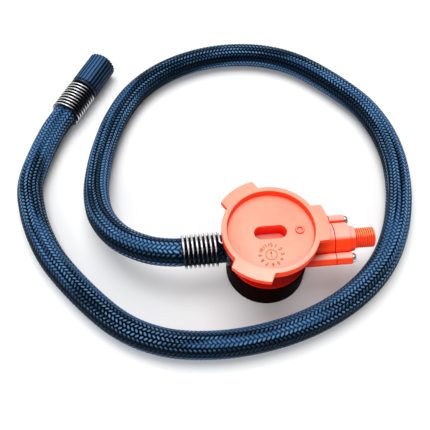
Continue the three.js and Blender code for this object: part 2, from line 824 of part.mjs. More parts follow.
// ---------------------------------------------------------------- assembly
const head = new THREE.Group();
head.add(
  piece("valve_body", valveBody(), orangePlastic),
  piece("inlet_cap", inletCap(), orangePlastic),
  piece("inlet_screw_front", inletScrew(-1), zincSteel),
  piece("inlet_screw_back", inletScrew(1), zincSteel),
  piece("screw_collar", screwCollar(), darkPlastic),
  piece("collar_retainer", collarRetainer(), paleNylon),
  piece("neck_seal", neckSeal(), blackRubber),
  piece("poppet_spring", returnSpring(), springSteel),
  piece("hose", hose(), braidTextile),
);

const portLine = new THREE.Group();
portLine.position.z = portHeight;
const barb = piece("outlet_barb", outletBarb(), brass);
barb.rotation.z = Math.PI;
barb.position.x = -outletFace - faceGap;
const nearFerrule = piece("near_ferrule", ferrule(), darkSteel);
nearFerrule.position.x = -ferruleBack - ferruleLength;
const nearRelief = { radius: reliefRadius, wire: reliefWire, pitch: reliefPitch, turns: nearTurns };
const nearSpring = piece("near_spring", woundWire("near_spring", nearRelief), springSteel);
nearSpring.position.x = -reliefBack - nearReliefLength;
portLine.add(
  piece("inlet_seal", inletSeal(), blackRubber),
  piece("outlet_seal", outletSeal(), blackRubber),
  barb,
  nearFerrule,
  nearSpring,
);

const checkValve = new THREE.Group();
checkValve.position.x = downOffset;
checkValve.add(
  piece("check_poppet", checkPoppet(), brass),
  piece("poppet_seal", poppetSeal(), blackRubber),
  piece("check_plug", checkPlug(), paleNylon),
);

const connector = new THREE.Group();
connector.position.set(farPlace[0], farPlace[1], connectorHeight);
connector.rotation.z = radians(farTurn);
const farFerrule = piece("far_ferrule", ferrule(), darkSteel);
farFerrule.position.x = -farFerruleFront - ferruleLength;
const farRelief = { radius: reliefRadius, wire: reliefWire, pitch: reliefPitch, turns: farTurns };
const farSpring = piece("far_spring", woundWire("far_spring", farRelief), springSteel);
farSpring.position.x = -farReliefFront - farReliefLength;
connector.add(
  piece("valve_nut", valveNut(), satinBlack),
  piece("connector_stem", connectorStem(), brass),
  piece("nut_clip", nutClip(), springSteel),
  piece("nut_seal", nutSeal(), blackRubber),
  piece("depressor_pin", depressorPin(), brass),
  farFerrule,
  farSpring,
);

head.add(portLine, checkValve, connector);
head.position.x = -headMiddle;
const group = new THREE.Group();
group.add(head);

export default group;
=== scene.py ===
"""The looks of a bottle's valve head with its braided filling hose, built around the CAD frame.

Every length is in metres. The head stands on its screw collar at z = 0, its ports lie along X and
the hose lies round it on the same surface.
"""

import json
import logging
import math
from collections.abc import Callable, Iterator, Sequence
from contextlib import contextmanager
from dataclasses import dataclass, field
from enum import Enum

import bpy
import numpy as np
from mathutils import Matrix, Vector


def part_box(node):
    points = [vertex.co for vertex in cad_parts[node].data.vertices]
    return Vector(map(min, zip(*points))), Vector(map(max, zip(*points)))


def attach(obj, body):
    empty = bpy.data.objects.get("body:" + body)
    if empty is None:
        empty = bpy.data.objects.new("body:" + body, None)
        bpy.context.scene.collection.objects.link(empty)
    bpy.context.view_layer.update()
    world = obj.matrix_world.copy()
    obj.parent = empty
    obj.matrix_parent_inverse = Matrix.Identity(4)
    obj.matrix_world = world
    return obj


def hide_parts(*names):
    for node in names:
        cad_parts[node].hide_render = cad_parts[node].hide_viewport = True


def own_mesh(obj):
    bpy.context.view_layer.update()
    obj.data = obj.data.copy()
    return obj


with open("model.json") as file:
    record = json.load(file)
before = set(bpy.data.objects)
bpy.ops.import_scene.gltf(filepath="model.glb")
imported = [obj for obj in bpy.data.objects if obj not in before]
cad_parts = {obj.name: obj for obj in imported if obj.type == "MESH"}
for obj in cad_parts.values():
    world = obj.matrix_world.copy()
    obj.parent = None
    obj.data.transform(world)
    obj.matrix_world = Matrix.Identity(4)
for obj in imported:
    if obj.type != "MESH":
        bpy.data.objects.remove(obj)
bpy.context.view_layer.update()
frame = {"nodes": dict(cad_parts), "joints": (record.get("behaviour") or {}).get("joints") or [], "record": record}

logging.basicConfig(level=logging.INFO, format="%(message)s")
log = logging.getLogger("valve_head")

Piece = bpy.types.Object
Socket = bpy.types.NodeSocket
Material = bpy.types.Material
Value = Socket | float | tuple[float, ...]
Colour = tuple[float, float, float]
Station = tuple[float, float]
Profile = Sequence[Station]

UP = Vector((0, 0, 1))
MM = 0.001
# Edges and faces thinner than this are taken out.
SLIVER = 0.001 * MM
# A cutting tool reaches this far past the faces that it cuts.
BEYOND = MM
# The middle of a round stands this share of its size off the sharp corner.
CORNER_SHARE = 0.3
# The clouds of the noise lie between these values.
CLOUD = (0.3, 0.7)
# In the plait, each hand of yarns starts its wave at its own lead and rises by this share.
PLAIT_LEADS = (-1.0, 2.0)
PLAIT_RISE = 0.5


class Body(Enum):
    """The rigid bodies that pieces ride on."""

    HEAD = "valve_head"
    COLLAR = "collar"
    NUT = "nut"


class Mate(Enum):
    """How one solid changes another."""

    JOIN = "UNION"
    CUT = "DIFFERENCE"


# ---------------------------------------------------------------- modelling by hand


def deselect_all() -> None:
    """Leaves edit mode and leaves nothing selected."""
    if bpy.context.object and bpy.context.object.mode != "OBJECT":
        bpy.ops.object.mode_set(mode="OBJECT")
    bpy.ops.object.select_all(action="DESELECT")


def take_up(piece: Piece) -> None:
    """Makes a piece the one that is selected and active.

    Args:
        piece: The mesh object.
    """
    deselect_all()
    piece.select_set(True)
    bpy.context.view_layer.objects.active = piece


@contextmanager
def editing(piece: Piece) -> Iterator[None]:
    """Edit mode on one piece, with all of it selected.

    Args:
        piece: The mesh object to edit.
    """
    take_up(piece)
    bpy.ops.object.mode_set(mode="EDIT")
    bpy.ops.mesh.select_all(action="SELECT")
    yield
    bpy.ops.object.mode_set(mode="OBJECT")


def pick_faces(piece: Piece, test: Callable[[Vector, Vector], bool]) -> None:
    """Selects, in edit mode, only the faces that pass a test.

    Args:
        piece: The mesh object that is being edited.
        test: Says of a face's centre and normal whether the face is taken.
    """
    bpy.ops.mesh.select_all(action="DESELECT")
    bpy.ops.object.mode_set(mode="OBJECT")
    for face in piece.data.polygons:
        face.select = test(face.center, face.normal)
    bpy.ops.object.mode_set(mode="EDIT")


def turned(name: str, profile: Profile, sides: int = 96, ring: bool = False) -> Piece:
    """Turns a profile about +Z, by extruding one round edge from station to station.

    Args:
        name: The new piece's name.
        profile: Radius and height of each station, in metres; a solid's first radius is its cap's.
        sides: How many sides the round has.
        ring: Whether the profile closes on itself round a hole, instead of on flat caps.

    Returns:
        The new mesh object, closed and with its faces outwards.
    """
    deselect_all()
    radius, height = profile[0]
    fill = "NOTHING" if ring else "NGON"
    bpy.ops.mesh.primitive_circle_add(
        vertices=sides, radius=radius, fill_type=fill, location=(0, 0, height)
    )
    piece = bpy.context.object
    piece.name = name
    bpy.ops.object.transform_apply(location=True, rotation=True, scale=True)
    extrude = bpy.ops.mesh.extrude_edges_move if ring else bpy.ops.mesh.extrude_region_move
    with editing(piece):
        for (was, below), (now, above) in zip(profile, profile[1:]):
            extrude(TRANSFORM_OT_translate={"value": (0, 0, above - below)})
            grow = now / was
            bpy.ops.transform.resize(value=(grow, grow, 1), center_override=(0, 0, above))
        bpy.ops.mesh.select_all(action="SELECT")
        if ring:
            bpy.ops.mesh.remove_doubles(threshold=SLIVER)
        bpy.ops.mesh.normals_make_consistent(inside=False)
    return piece


def rod(radius: float, low: float, high: float, axis: "Axis", sides: int) -> Piece:
    """A plain round bar on an axis, to join or to cut with."""
    return axis.lay(turned("rod", [(radius, low), (radius, high)], sides))


def corner(radius: float, height: float, enter: Station, leave: Station) -> list[Station]:
    """Three stations of a profile that round one of its corners.

    Args:
        radius: The sharp corner's radius.
        height: Its height.
        enter: Where the round begins, as radius and height from the corner.
        leave: Where it ends, in the same way.

    Returns:
        The stations.
    """
    return [
        (radius + first * enter[0] + last * leave[0], height + first * enter[1] + last * leave[1])
        for first, last in ((1, 0), (CORNER_SHARE, CORNER_SHARE), (0, 1))
    ]


def modify(piece: Piece, kind: str, **settings: object) -> None:
    """Gives a piece one modifier and applies it.

    Args:
        piece: The mesh object.
        kind: The modifier's type.
        **settings: Its settings.
    """
    take_up(piece)
    bpy.ops.object.modifier_add(type=kind)
    modifier = piece.modifiers[-1]
    for name, value in settings.items():
        setattr(modifier, name, value)
    bpy.ops.object.modifier_apply(modifier=modifier.name)


def combine(piece: Piece, tool: Piece, how: Mate) -> None:
    """Joins a second solid to a piece or cuts it away, and removes the second solid.

    Args:
        piece: The piece that stays.
        tool: The solid that is used up.
        how: Whether it is joined or cut away.
    """
    modify(piece, "BOOLEAN", object=tool, operation=how.value, solver="EXACT")
    bpy.data.objects.remove(tool)


def drop_slivers(piece: Piece) -> None:
    """Takes out edges and faces too thin to see.

    Args:
        piece: The mesh object.
    """
    with editing(piece):
        bpy.ops.mesh.dissolve_degenerate(threshold=SLIVER)
        bpy.ops.mesh.remove_doubles(threshold=SLIVER)


def bevel(piece: Piece, width: float, angle: float) -> None:
    """Rounds a piece's sharp edges.

    Args:
        piece: The mesh object.
        width: The round's width, in metres.
        angle: The least angle of an edge that is rounded, in degrees.
    """
    least = math.radians(angle)
    modify(piece, "BEVEL", width=width, segments=2, limit_method="ANGLE", angle_limit=least)


def shade(piece: Piece, angle: float) -> None:
    """Smooths a piece's shading over all edges flatter than an angle, in degrees."""
    take_up(piece)
    bpy.ops.object.shade_smooth_by_angle(angle=math.radians(angle))


def round_edges(piece: Piece, width: float, angle: float = 32) -> None:
    """Rounds a piece's sharp edges and smooths its shading.

    Args:
        piece: The mesh object.
        width: The round's width, in metres; 0 leaves the edges sharp.
        angle: The least angle of an edge that is rounded, in degrees.
    """
    if width:
        bevel(piece, width, angle)
        drop_slivers(piece)
    shade(piece, angle)
    modify(piece, "WEIGHTED_NORMAL", keep_sharp=True)


def stadium(name: str, length: float, width: float, low: float, high: float) -> Piece:
    """A prism with round ends, its long way along X.

    Args:
        name: The new piece's name.
        length: Its whole length.
        width: Its width.
        low: The height of its underside.
        high: The height of its top.

    Returns:
        The new mesh object.
    """
    sides = 62  # two halves of 31, with no corner in the plane between them
    piece = turned(name, [(width / 2, low), (width / 2, high)], sides)
    shift = (length - width) / 2
    for vertex in piece.data.vertices:
        vertex.co.x += math.copysign(shift, vertex.co.x)
    return piece


@dataclass(frozen=True)
class Axis:
    """A line that round pieces are turned about.

    Attributes:
        origin: The point on it that heights count from.
        direction: The way that heights grow.
    """

    origin: Vector
    direction: Vector

    def at(self, along: float) -> Vector:
        """The point that far along the line."""
        return self.origin + self.direction * along

    def lay(self, piece: Piece) -> Piece:
        """Lays a piece that was turned about +Z on this line.

        Args:
            piece: The mesh object, whose object stays at the origin.

        Returns:
            The piece.
        """
        turn = UP.rotation_difference(self.direction).to_matrix().to_4x4()
        piece.data.transform(Matrix.Translation(self.origin) @ turn)
        return piece


def coil(name: str, wire: float, place: float, pitch: float, turns: float) -> Piece:
    """A wire screwed up about +Z, open at both ends, which starts on the X axis.

    Args:
        name: The new piece's name.
        wire: The wire's own radius.
        place: From the axis to the middle of the wire.
        pitch: The rise of one turn.
        turns: How many turns there are.

    Returns:
        The new mesh object.
    """
    sides, steps = 14, round(36 * turns)
    deselect_all()
    bpy.ops.mesh.primitive_circle_add(vertices=sides, radius=wire, rotation=(math.pi / 2, 0, 0))
    piece = bpy.context.object
    piece.name = name
    with editing(piece):
        bpy.ops.transform.translate(value=(place, 0, 0))
    bpy.ops.object.transform_apply(location=True, rotation=True, scale=True)
    whole = {"angle": 2 * math.pi * turns, "screw_offset": pitch * turns, "iterations": 1}
    modify(piece, "SCREW", axis="Z", steps=steps, render_steps=steps, **whole)
    return piece


def close_ends(piece: Piece) -> None:
    """Caps an open tube, turns its faces outwards and smooths it.

    Args:
        piece: The mesh object.
    """
    with editing(piece):
        bpy.ops.mesh.remove_doubles(threshold=SLIVER)
        bpy.ops.mesh.fill_holes(sides=0)
        bpy.ops.mesh.normals_make_consistent(inside=False)
    round_edges(piece, 0)


def middle(node: str) -> Vector:
    """The middle of a CAD node's box."""
    low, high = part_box(node)
    return (low + high) / 2


# ---------------------------------------------------------------- finishes


class Graph:
    """The node tree of one material, around a Principled shader."""

    def __init__(self, name: str) -> None:
        """Starts an empty tree.

        Args:
            name: The material's name.
        """
        self.material = bpy.data.materials.new(name)
        self.material.use_nodes = True
        self.tree = self.material.node_tree
        self.tree.nodes.clear()
        self.shader = self.tree.nodes.new("ShaderNodeBsdfPrincipled")
        output = self.tree.nodes.new("ShaderNodeOutputMaterial")
        self.link(self.shader.outputs[0], output.inputs["Surface"])

    def link(self, source: Socket, target: Socket) -> None:
        """Joins an output to an input."""
        self.tree.links.new(source, target)

    def feed(self, value: Value, target: Socket) -> None:
        """Gives an input a number, a colour or another node's output.

        Args:
            value: What it gets.
            target: The input.
        """
        if isinstance(value, Socket):
            self.link(value, target)
        elif isinstance(value, tuple) and len(value) == 3 and target.type == "RGBA":
            target.default_value = (*value, 1)
        else:
            target.default_value = value

    def set(self, **inputs: Value) -> None:
        """Sets the shader's inputs; an underscore in a name stands for a space."""
        for name, value in inputs.items():
            self.feed(value, self.shader.inputs[name.replace("_", " ")])

    def math(self, operation: str, *values: Value) -> Socket:
        """One math node.

        Args:
            operation: The node's operation.
            *values: Its inputs, numbers or outputs.

        Returns:
            Its output.
        """
        node = self.tree.nodes.new("ShaderNodeMath")
        node.operation = operation
        for i, value in enumerate(values):
            self.feed(value, node.inputs[i])
        return node.outputs[0]

    def product(self, first: Value, *others: Value) -> Value:
        """Several values multiplied.

        Args:
            first: The first value.
            *others: The others.

        Returns:
            Their product.
        """
        for value in others:
            first = self.math("MULTIPLY", first, value)
        return first

    def mix(self, share: Value, first: Value, second: Value) -> Socket:
        """A colour between two colours.

        Args:
            share: How much of the second, from 0 to 1.
            first: The first colour.
            second: The second colour.

        Returns:
            The mixed colour's output.
        """
        node = self.tree.nodes.new("ShaderNodeMix")
        node.data_type = "RGBA"
        self.feed(share, node.inputs[0])
        self.feed(first, node.inputs[6])
        self.feed(second, node.inputs[7])
        return node.outputs[2]

    def blend(
        self, value: Value, low: float, high: float, to_low: float = 0.0, to_high: float = 1.0
    ) -> Socket:
        """Maps a value smoothly from one range to another.

        Args:
            value: The value.
            low: Where its range begins; below it the result stays at to_low.
            high: Where its range ends; above it the result stays at to_high.
            to_low: Where the result's range begins.
            to_high: Where it ends.

        Returns:
            The result's output.
        """
        node = self.tree.nodes.new("ShaderNodeMapRange")
        node.interpolation_type = "SMOOTHSTEP"
        for i, item in enumerate((value, low, high, to_low, to_high)):
            self.feed(item, node.inputs[i])
        return node.outputs[0]

    def coordinate(self, kind: str) -> Socket:
        """The surface's own Object, Normal or UV coordinates."""
        return self.tree.nodes.new("ShaderNodeTexCoord").outputs[kind]

    def split(self, vector: Socket) -> Sequence[Socket]:
        """A vector's three parts.

        Args:
            vector: The vector's output.

        Returns:
            The outputs of the parts.
        """
        node = self.tree.nodes.new("ShaderNodeSeparateXYZ")
        self.link(vector, node.inputs[0])
        return node.outputs

    def distance(self, first: Value, second: Value, centre: Station = (0, 0)) -> Socket:
        """How far a point of a plane lies from a centre.

        Args:
            first: The point's one coordinate.
            second: Its other coordinate.
            centre: The centre's coordinates.

        Returns:
            The distance's output.
        """
        gaps = [self.math("SUBTRACT", part, own) for part, own in zip((first, second), centre)]
        return self.math("SQRT", self.math("ADD", *(self.product(gap, gap) for gap in gaps)))

    def noise(
        self, scale: float, detail: float = 3, roughness: float = 0.5, place: Socket | None = None
    ) -> Socket:
        """A cloudy value from 0 to 1.

        Args:
            scale: How fine the clouds are.
            detail: How many finer layers they have.
            roughness: How strong the finer layers are.
            place: The coordinates, or None for Object coordinates.

        Returns:
            The value's output.
        """
        node = self.tree.nodes.new("ShaderNodeTexNoise")
        self.link(place or self.coordinate("Object"), node.inputs["Vector"])
        for name, value in (("Scale", scale), ("Detail", detail), ("Roughness", roughness)):
            node.inputs[name].default_value = value
        return node.outputs["Fac"]

    def cloud(
        self, low: float, high: float, scale: float, detail: float = 3, roughness: float = 0.5
    ) -> Socket:
        """A value that drifts between two values, in clouds as noise() makes them."""
        return self.blend(self.noise(scale, detail, roughness), *CLOUD, low, high)

    def facing(self, way: tuple[float, float, float]) -> Socket:
        """How squarely the surface faces a way, from -1 to 1.

        Args:
            way: The way, of length 1.

        Returns:
            The value's output.
        """
        node = self.tree.nodes.new("ShaderNodeVectorMath")
        node.operation = "DOT_PRODUCT"
        self.link(self.coordinate("Normal"), node.inputs[0])
        node.inputs[1].default_value = way
        return node.outputs["Value"]

    def bump(self, height: Value, strength: float, distance: float) -> None:
        """Gives the shader a bump from a height.

        Args:
            height: The height.
            strength: How strongly the bump tilts the light, from 0 to 1.
            distance: The size of a height of 1, in metres.
        """
        node = self.tree.nodes.new("ShaderNodeBump")
        node.inputs["Strength"].default_value = strength
        node.inputs["Distance"].default_value = distance
        self.feed(height, node.inputs["Height"])
        self.link(node.outputs[0], self.shader.inputs["Normal"])


@dataclass(frozen=True)
class Finish:
    """A surface finish; each kind makes its own material.

    Attributes:
        name: The material's name.
        slot: The record's slot that it belongs to; not used.
    """

    name: str
    slot: str

    def make(self) -> Material:
        """Makes the material, or finds it if it was made before.

        Returns:
            The material.
        """
        if self not in MADE:
            graph = Graph(self.name)
            self.build(graph)
            MADE[self] = graph.material
        return MADE[self]

    def build(self, graph: Graph) -> None:
        """Wires the material."""
        raise NotImplementedError


MADE: dict[Finish, Material] = {}


@dataclass(frozen=True)
class HeadLight:
    """Masks for the light and shade painted on the valve head, whose ports lie along X.

    Attributes:
        x: Place of the head's axis.
        y: Place of the head's axis, and of the ports'.
        port_height: Height of the ports' axis.
        plate_radius: Radius of the top plate.
        plate_bottom: Height above which a place belongs to the plate.
        slot_bottom: Height above which painted light from the sky reaches down the slot.
        slot_reach: Distance from the head's axis within which the slot lies.
        shadow: How far the plate's painted shadow lies towards +X.
        nipple_radius: Radius of the nipple over its ridges.
        ridge: Height of a ridge.
        side_step: Where a place comes out of the painted shade under the plate, in plate radii.
        shade_step: Where it comes out of the plate's painted shadow, in plate radii.
        front_reach: How far forward the plate's painted light is brightest, in plate radii.
        ridge_step: Where a groove's painted shade ends, in heights of a ridge.
    """

    x: float
    y: float
    port_height: float
    plate_radius: float = 18 * MM
    plate_bottom: float = 27.5 * MM
    slot_bottom: float = 23.4 * MM
    slot_reach: float = 8 * MM
    shadow: float = 3 * MM
    nipple_radius: float = 3.85 * MM
    ridge: float = 0.4 * MM
    side_step: Station = (0.86, 1.1)
    shade_step: Station = (0.6, 1.2)
    front_reach: float = 1.1
    ridge_step: Station = (0.1, 0.8)

    def measure(self, graph: Graph) -> dict[str, Socket]:
        """Works out the masks of painted light and shade, each 1 or 0 with a soft step.

        Args:
            graph: The material's graph.

        Returns:
            plate: On the plate. open_side: Beside or above the plate's shelter. open_top: The same,
            with the slot's floor. shade: Out of the plate's shadow. ridge: Outside the nipple's
            grooves. port: Outside the nipple. front: Towards the plate's front.
        """
        across, deep, high = graph.split(graph.coordinate("Object"))
        far_out = graph.distance(across, deep, (self.x, self.y))
        from_shadow = graph.distance(across, deep, (self.x + self.shadow, self.y))
        from_port = graph.distance(deep, high, (self.y, self.port_height))
        plate = graph.math("GREATER_THAN", high, self.plate_bottom)
        near_axis = graph.math("LESS_THAN", far_out, self.slot_reach)
        in_slot = graph.product(near_axis, graph.math("GREATER_THAN", high, self.slot_bottom))
        lit_above = graph.math("MAXIMUM", plate, in_slot)
        beside = graph.blend(far_out, *(share * self.plate_radius for share in self.side_step))
        well_out = graph.blend(
            from_shadow, *(share * self.plate_radius for share in self.shade_step)
        )
        groove = self.nipple_radius - self.ridge
        front = self.y - self.front_reach * self.plate_radius
        return {
            "plate": plate,
            "open_side": graph.math("MAXIMUM", beside, plate),
            "open_top": graph.math("MAXIMUM", beside, lit_above),
            "shade": graph.math("MAXIMUM", well_out, lit_above),
            "ridge": graph.blend(
                from_port, *(groove + share * self.ridge for share in self.ridge_step)
            ),
            "port": graph.blend(from_port, self.nipple_radius, self.nipple_radius + self.ridge),
            "front": graph.blend(deep, self.y, front),
        }


@dataclass(frozen=True)
class MouldedPlastic(Finish):
    """Moulded plastic with painted light on faces towards the sky and painted shade in creases.

    Attributes:
        deep: Painted shade colour in grooves and in the shelter of other parts.
        side: Colour of the sides.
        top: Painted light colour of open faces that look at the sky.
        gloss: Roughness of the smooth skin.
        shine: How strongly the skin mirrors.
        grain: Height of the fine moulded texture.
        sky: The way that a face with the full painted light looks.
        sky_step: How squarely a face looks there where the painted light begins and is full.
        crease: How wide a groove keeps its painted shade.
        crease_step: How open a place is where the groove's painted shade ends.
    """

    deep: Colour
    side: Colour
    top: Colour
    gloss: float = 0.34
    shine: float = 0.2
    grain: float = 0.02 * MM
    sky: tuple[float, float, float] = (0.0, 0.42, 0.91)
    sky_step: Station = (0.55, 0.78)
    crease: float = 0.8 * MM
    crease_step: Station = (0.55, 0.88)

    def build(self, graph: Graph) -> None:
        """Wires the material.

        Args:
            graph: The material's graph.
        """
        # Painted light on faces towards the sky; painted shade in creases, by ambient occlusion.
        up = graph.blend(graph.facing(self.sky), *self.sky_step)
        open_air = graph.tree.nodes.new("ShaderNodeAmbientOcclusion")
        open_air.samples = 8
        open_air.inputs["Distance"].default_value = self.crease
        lit = graph.blend(open_air.outputs["AO"], *self.crease_step)
        painted_light = graph.product(up, lit, graph.cloud(0.8, 1.0, scale=60))
        rough = graph.cloud(self.gloss - 0.04, self.gloss + 0.08, scale=400, detail=4)
        graph.set(Base_Color=self.paint(graph, painted_light, lit))
        graph.set(Roughness=rough, Specular_IOR_Level=self.shine)
        graph.bump(graph.noise(2600, 2), 0.25, self.grain)

    def paint(self, graph: Graph, painted_light: Socket, lit: Socket) -> Socket:
        """The colour of a place.

        Args:
            graph: The material's graph.
            painted_light: How much of the painted light colour it has.
            lit: How far it lies out of the painted shade of creases.

        Returns:
            The colour's output.
        """
        return graph.mix(painted_light, graph.mix(lit, self.deep, self.side), self.top)


@dataclass(frozen=True, kw_only=True)
class HeadPlastic(MouldedPlastic):
    """The moulded plastic of the valve head, whose plate casts a painted shadow under it.

    Attributes:
        light: The masks of the light and shade painted on its places.
        front: Painted light colour of the open top at the plate's front.
        glare: Painted highlight colour of the ports' open tops.
        crest: Painted light colour of the nipple's open ridges.
        groove: Painted shade colour of its grooves.
        sheltered: Painted shadow colour far under the plate.
    """

    light: HeadLight
    front: Colour
    glare: Colour
    crest: Colour
    groove: Colour
    sheltered: Colour

    def paint(self, graph: Graph, painted_light: Socket, lit: Socket) -> Socket:
        """The colour of a place, with the light and shade painted on it.

        Args:
            graph: The material's graph.
            painted_light: How much of the painted light colour it has.
            lit: How far it lies out of the painted shade of creases.

        Returns:
            The colour's output.
        """
        masks = self.light.measure(graph)
        lit = graph.product(lit, masks["open_side"])
        painted_light = graph.product(painted_light, masks["open_top"])
        # Painted highlight on the ports, painted light on the nipple's crests and the plate.
        low_top = graph.mix(masks["port"], self.crest, self.glare)
        plate_top = graph.mix(masks["front"], self.top, self.front)
        top = graph.mix(masks["plate"], low_top, plate_top)
        colour = graph.mix(painted_light, graph.mix(lit, self.deep, self.side), top)
        # Painted shade in the nipple's grooves and painted shadow under the plate.
        colour = graph.mix(masks["ridge"], self.groove, colour)
        return graph.mix(masks["shade"], self.sheltered, colour)


@dataclass(frozen=True)
class Metal(Finish):
    """Bare or plated metal with fine drawing or turning marks.

    Attributes:
        colour: Its colour.
        shine: Its roughness.
        dull: How much rougher the worn patches are.
        metallic: 1 for bare metal, less for a blackened one.
    """

    colour: Colour
    shine: float = 0.18
    dull: float = 0.12
    metallic: float = 1.0

    def build(self, graph: Graph) -> None:
        """Wires the material.

        Args:
            graph: The material's graph.
        """
        patches = graph.blend(graph.noise(600, 4, 0.6), 0.35, 0.7)
        darker = tuple(0.78 * part for part in self.colour)
        graph.set(Base_Color=graph.mix(patches, self.colour, darker), Metallic=self.metallic)
        graph.set(Roughness=graph.blend(patches, 0, 1, self.shine, self.shine + self.dull))
        graph.bump(graph.noise(5000, 2), 0.15, 0.01 * MM)


@dataclass(frozen=True)
class PolishedWire(Finish):
    """Polished wire, with painted reflections: white to the sky, grey to the floor, black between.

    Attributes:
        light: Painted reflection colour of the sky.
        grey: Painted reflection colour of the floor.
        dark: Painted reflection colour of the rest.
        sky: The way that a fully lit side faces.
        sky_step: How squarely a side faces where the sky's painted reflection begins and is full.
        floor_step: The same for the floor's, full at the lower value.
    """

    light: Colour
    grey: Colour
    dark: Colour
    sky: tuple[float, float, float] = (0.0, 0.24, 0.97)
    sky_step: Station = (0.56, 0.76)
    floor_step: Station = (-0.3, -0.05)

    def build(self, graph: Graph) -> None:
        """Wires the material.

        Args:
            graph: The material's graph.
        """
        facing = graph.facing(self.sky)
        lit = graph.blend(facing, *self.sky_step)
        low = graph.blend(facing, *self.floor_step, 1.0, 0.0)
        bright = graph.product(lit, graph.cloud(0.86, 1.0, scale=900, detail=4, roughness=0.6))
        # The base colour is a painted reflection of the sky, the floor and the surround.
        graph.set(Base_Color=graph.mix(bright, graph.mix(low, self.dark, self.grey), self.light))
        graph.set(Metallic=graph.blend(lit, 0, 1, 1.0, 0.45), Roughness=0.1)


@dataclass(frozen=True)
class Rubber(Finish):
    """Matt moulded rubber or nylon with a faint bloom.

    Attributes:
        colour: Its colour.
        bloom: The colour of the bloom on it.
        matt: Its roughness.
    """

    colour: Colour
    bloom: Colour
    matt: float = 0.6

    def build(self, graph: Graph) -> None:
        """Wires the material.

        Args:
            graph: The material's graph.
        """
        cloud = graph.blend(graph.noise(300, 5, 0.6), 0.45, 0.8)
        graph.set(Base_Color=graph.mix(cloud, self.colour, self.bloom))
        graph.set(Roughness=graph.blend(cloud, 0, 1, self.matt - 0.08, self.matt + 0.1))
        graph.bump(graph.noise(3500, 3), 0.3, 0.02 * MM)
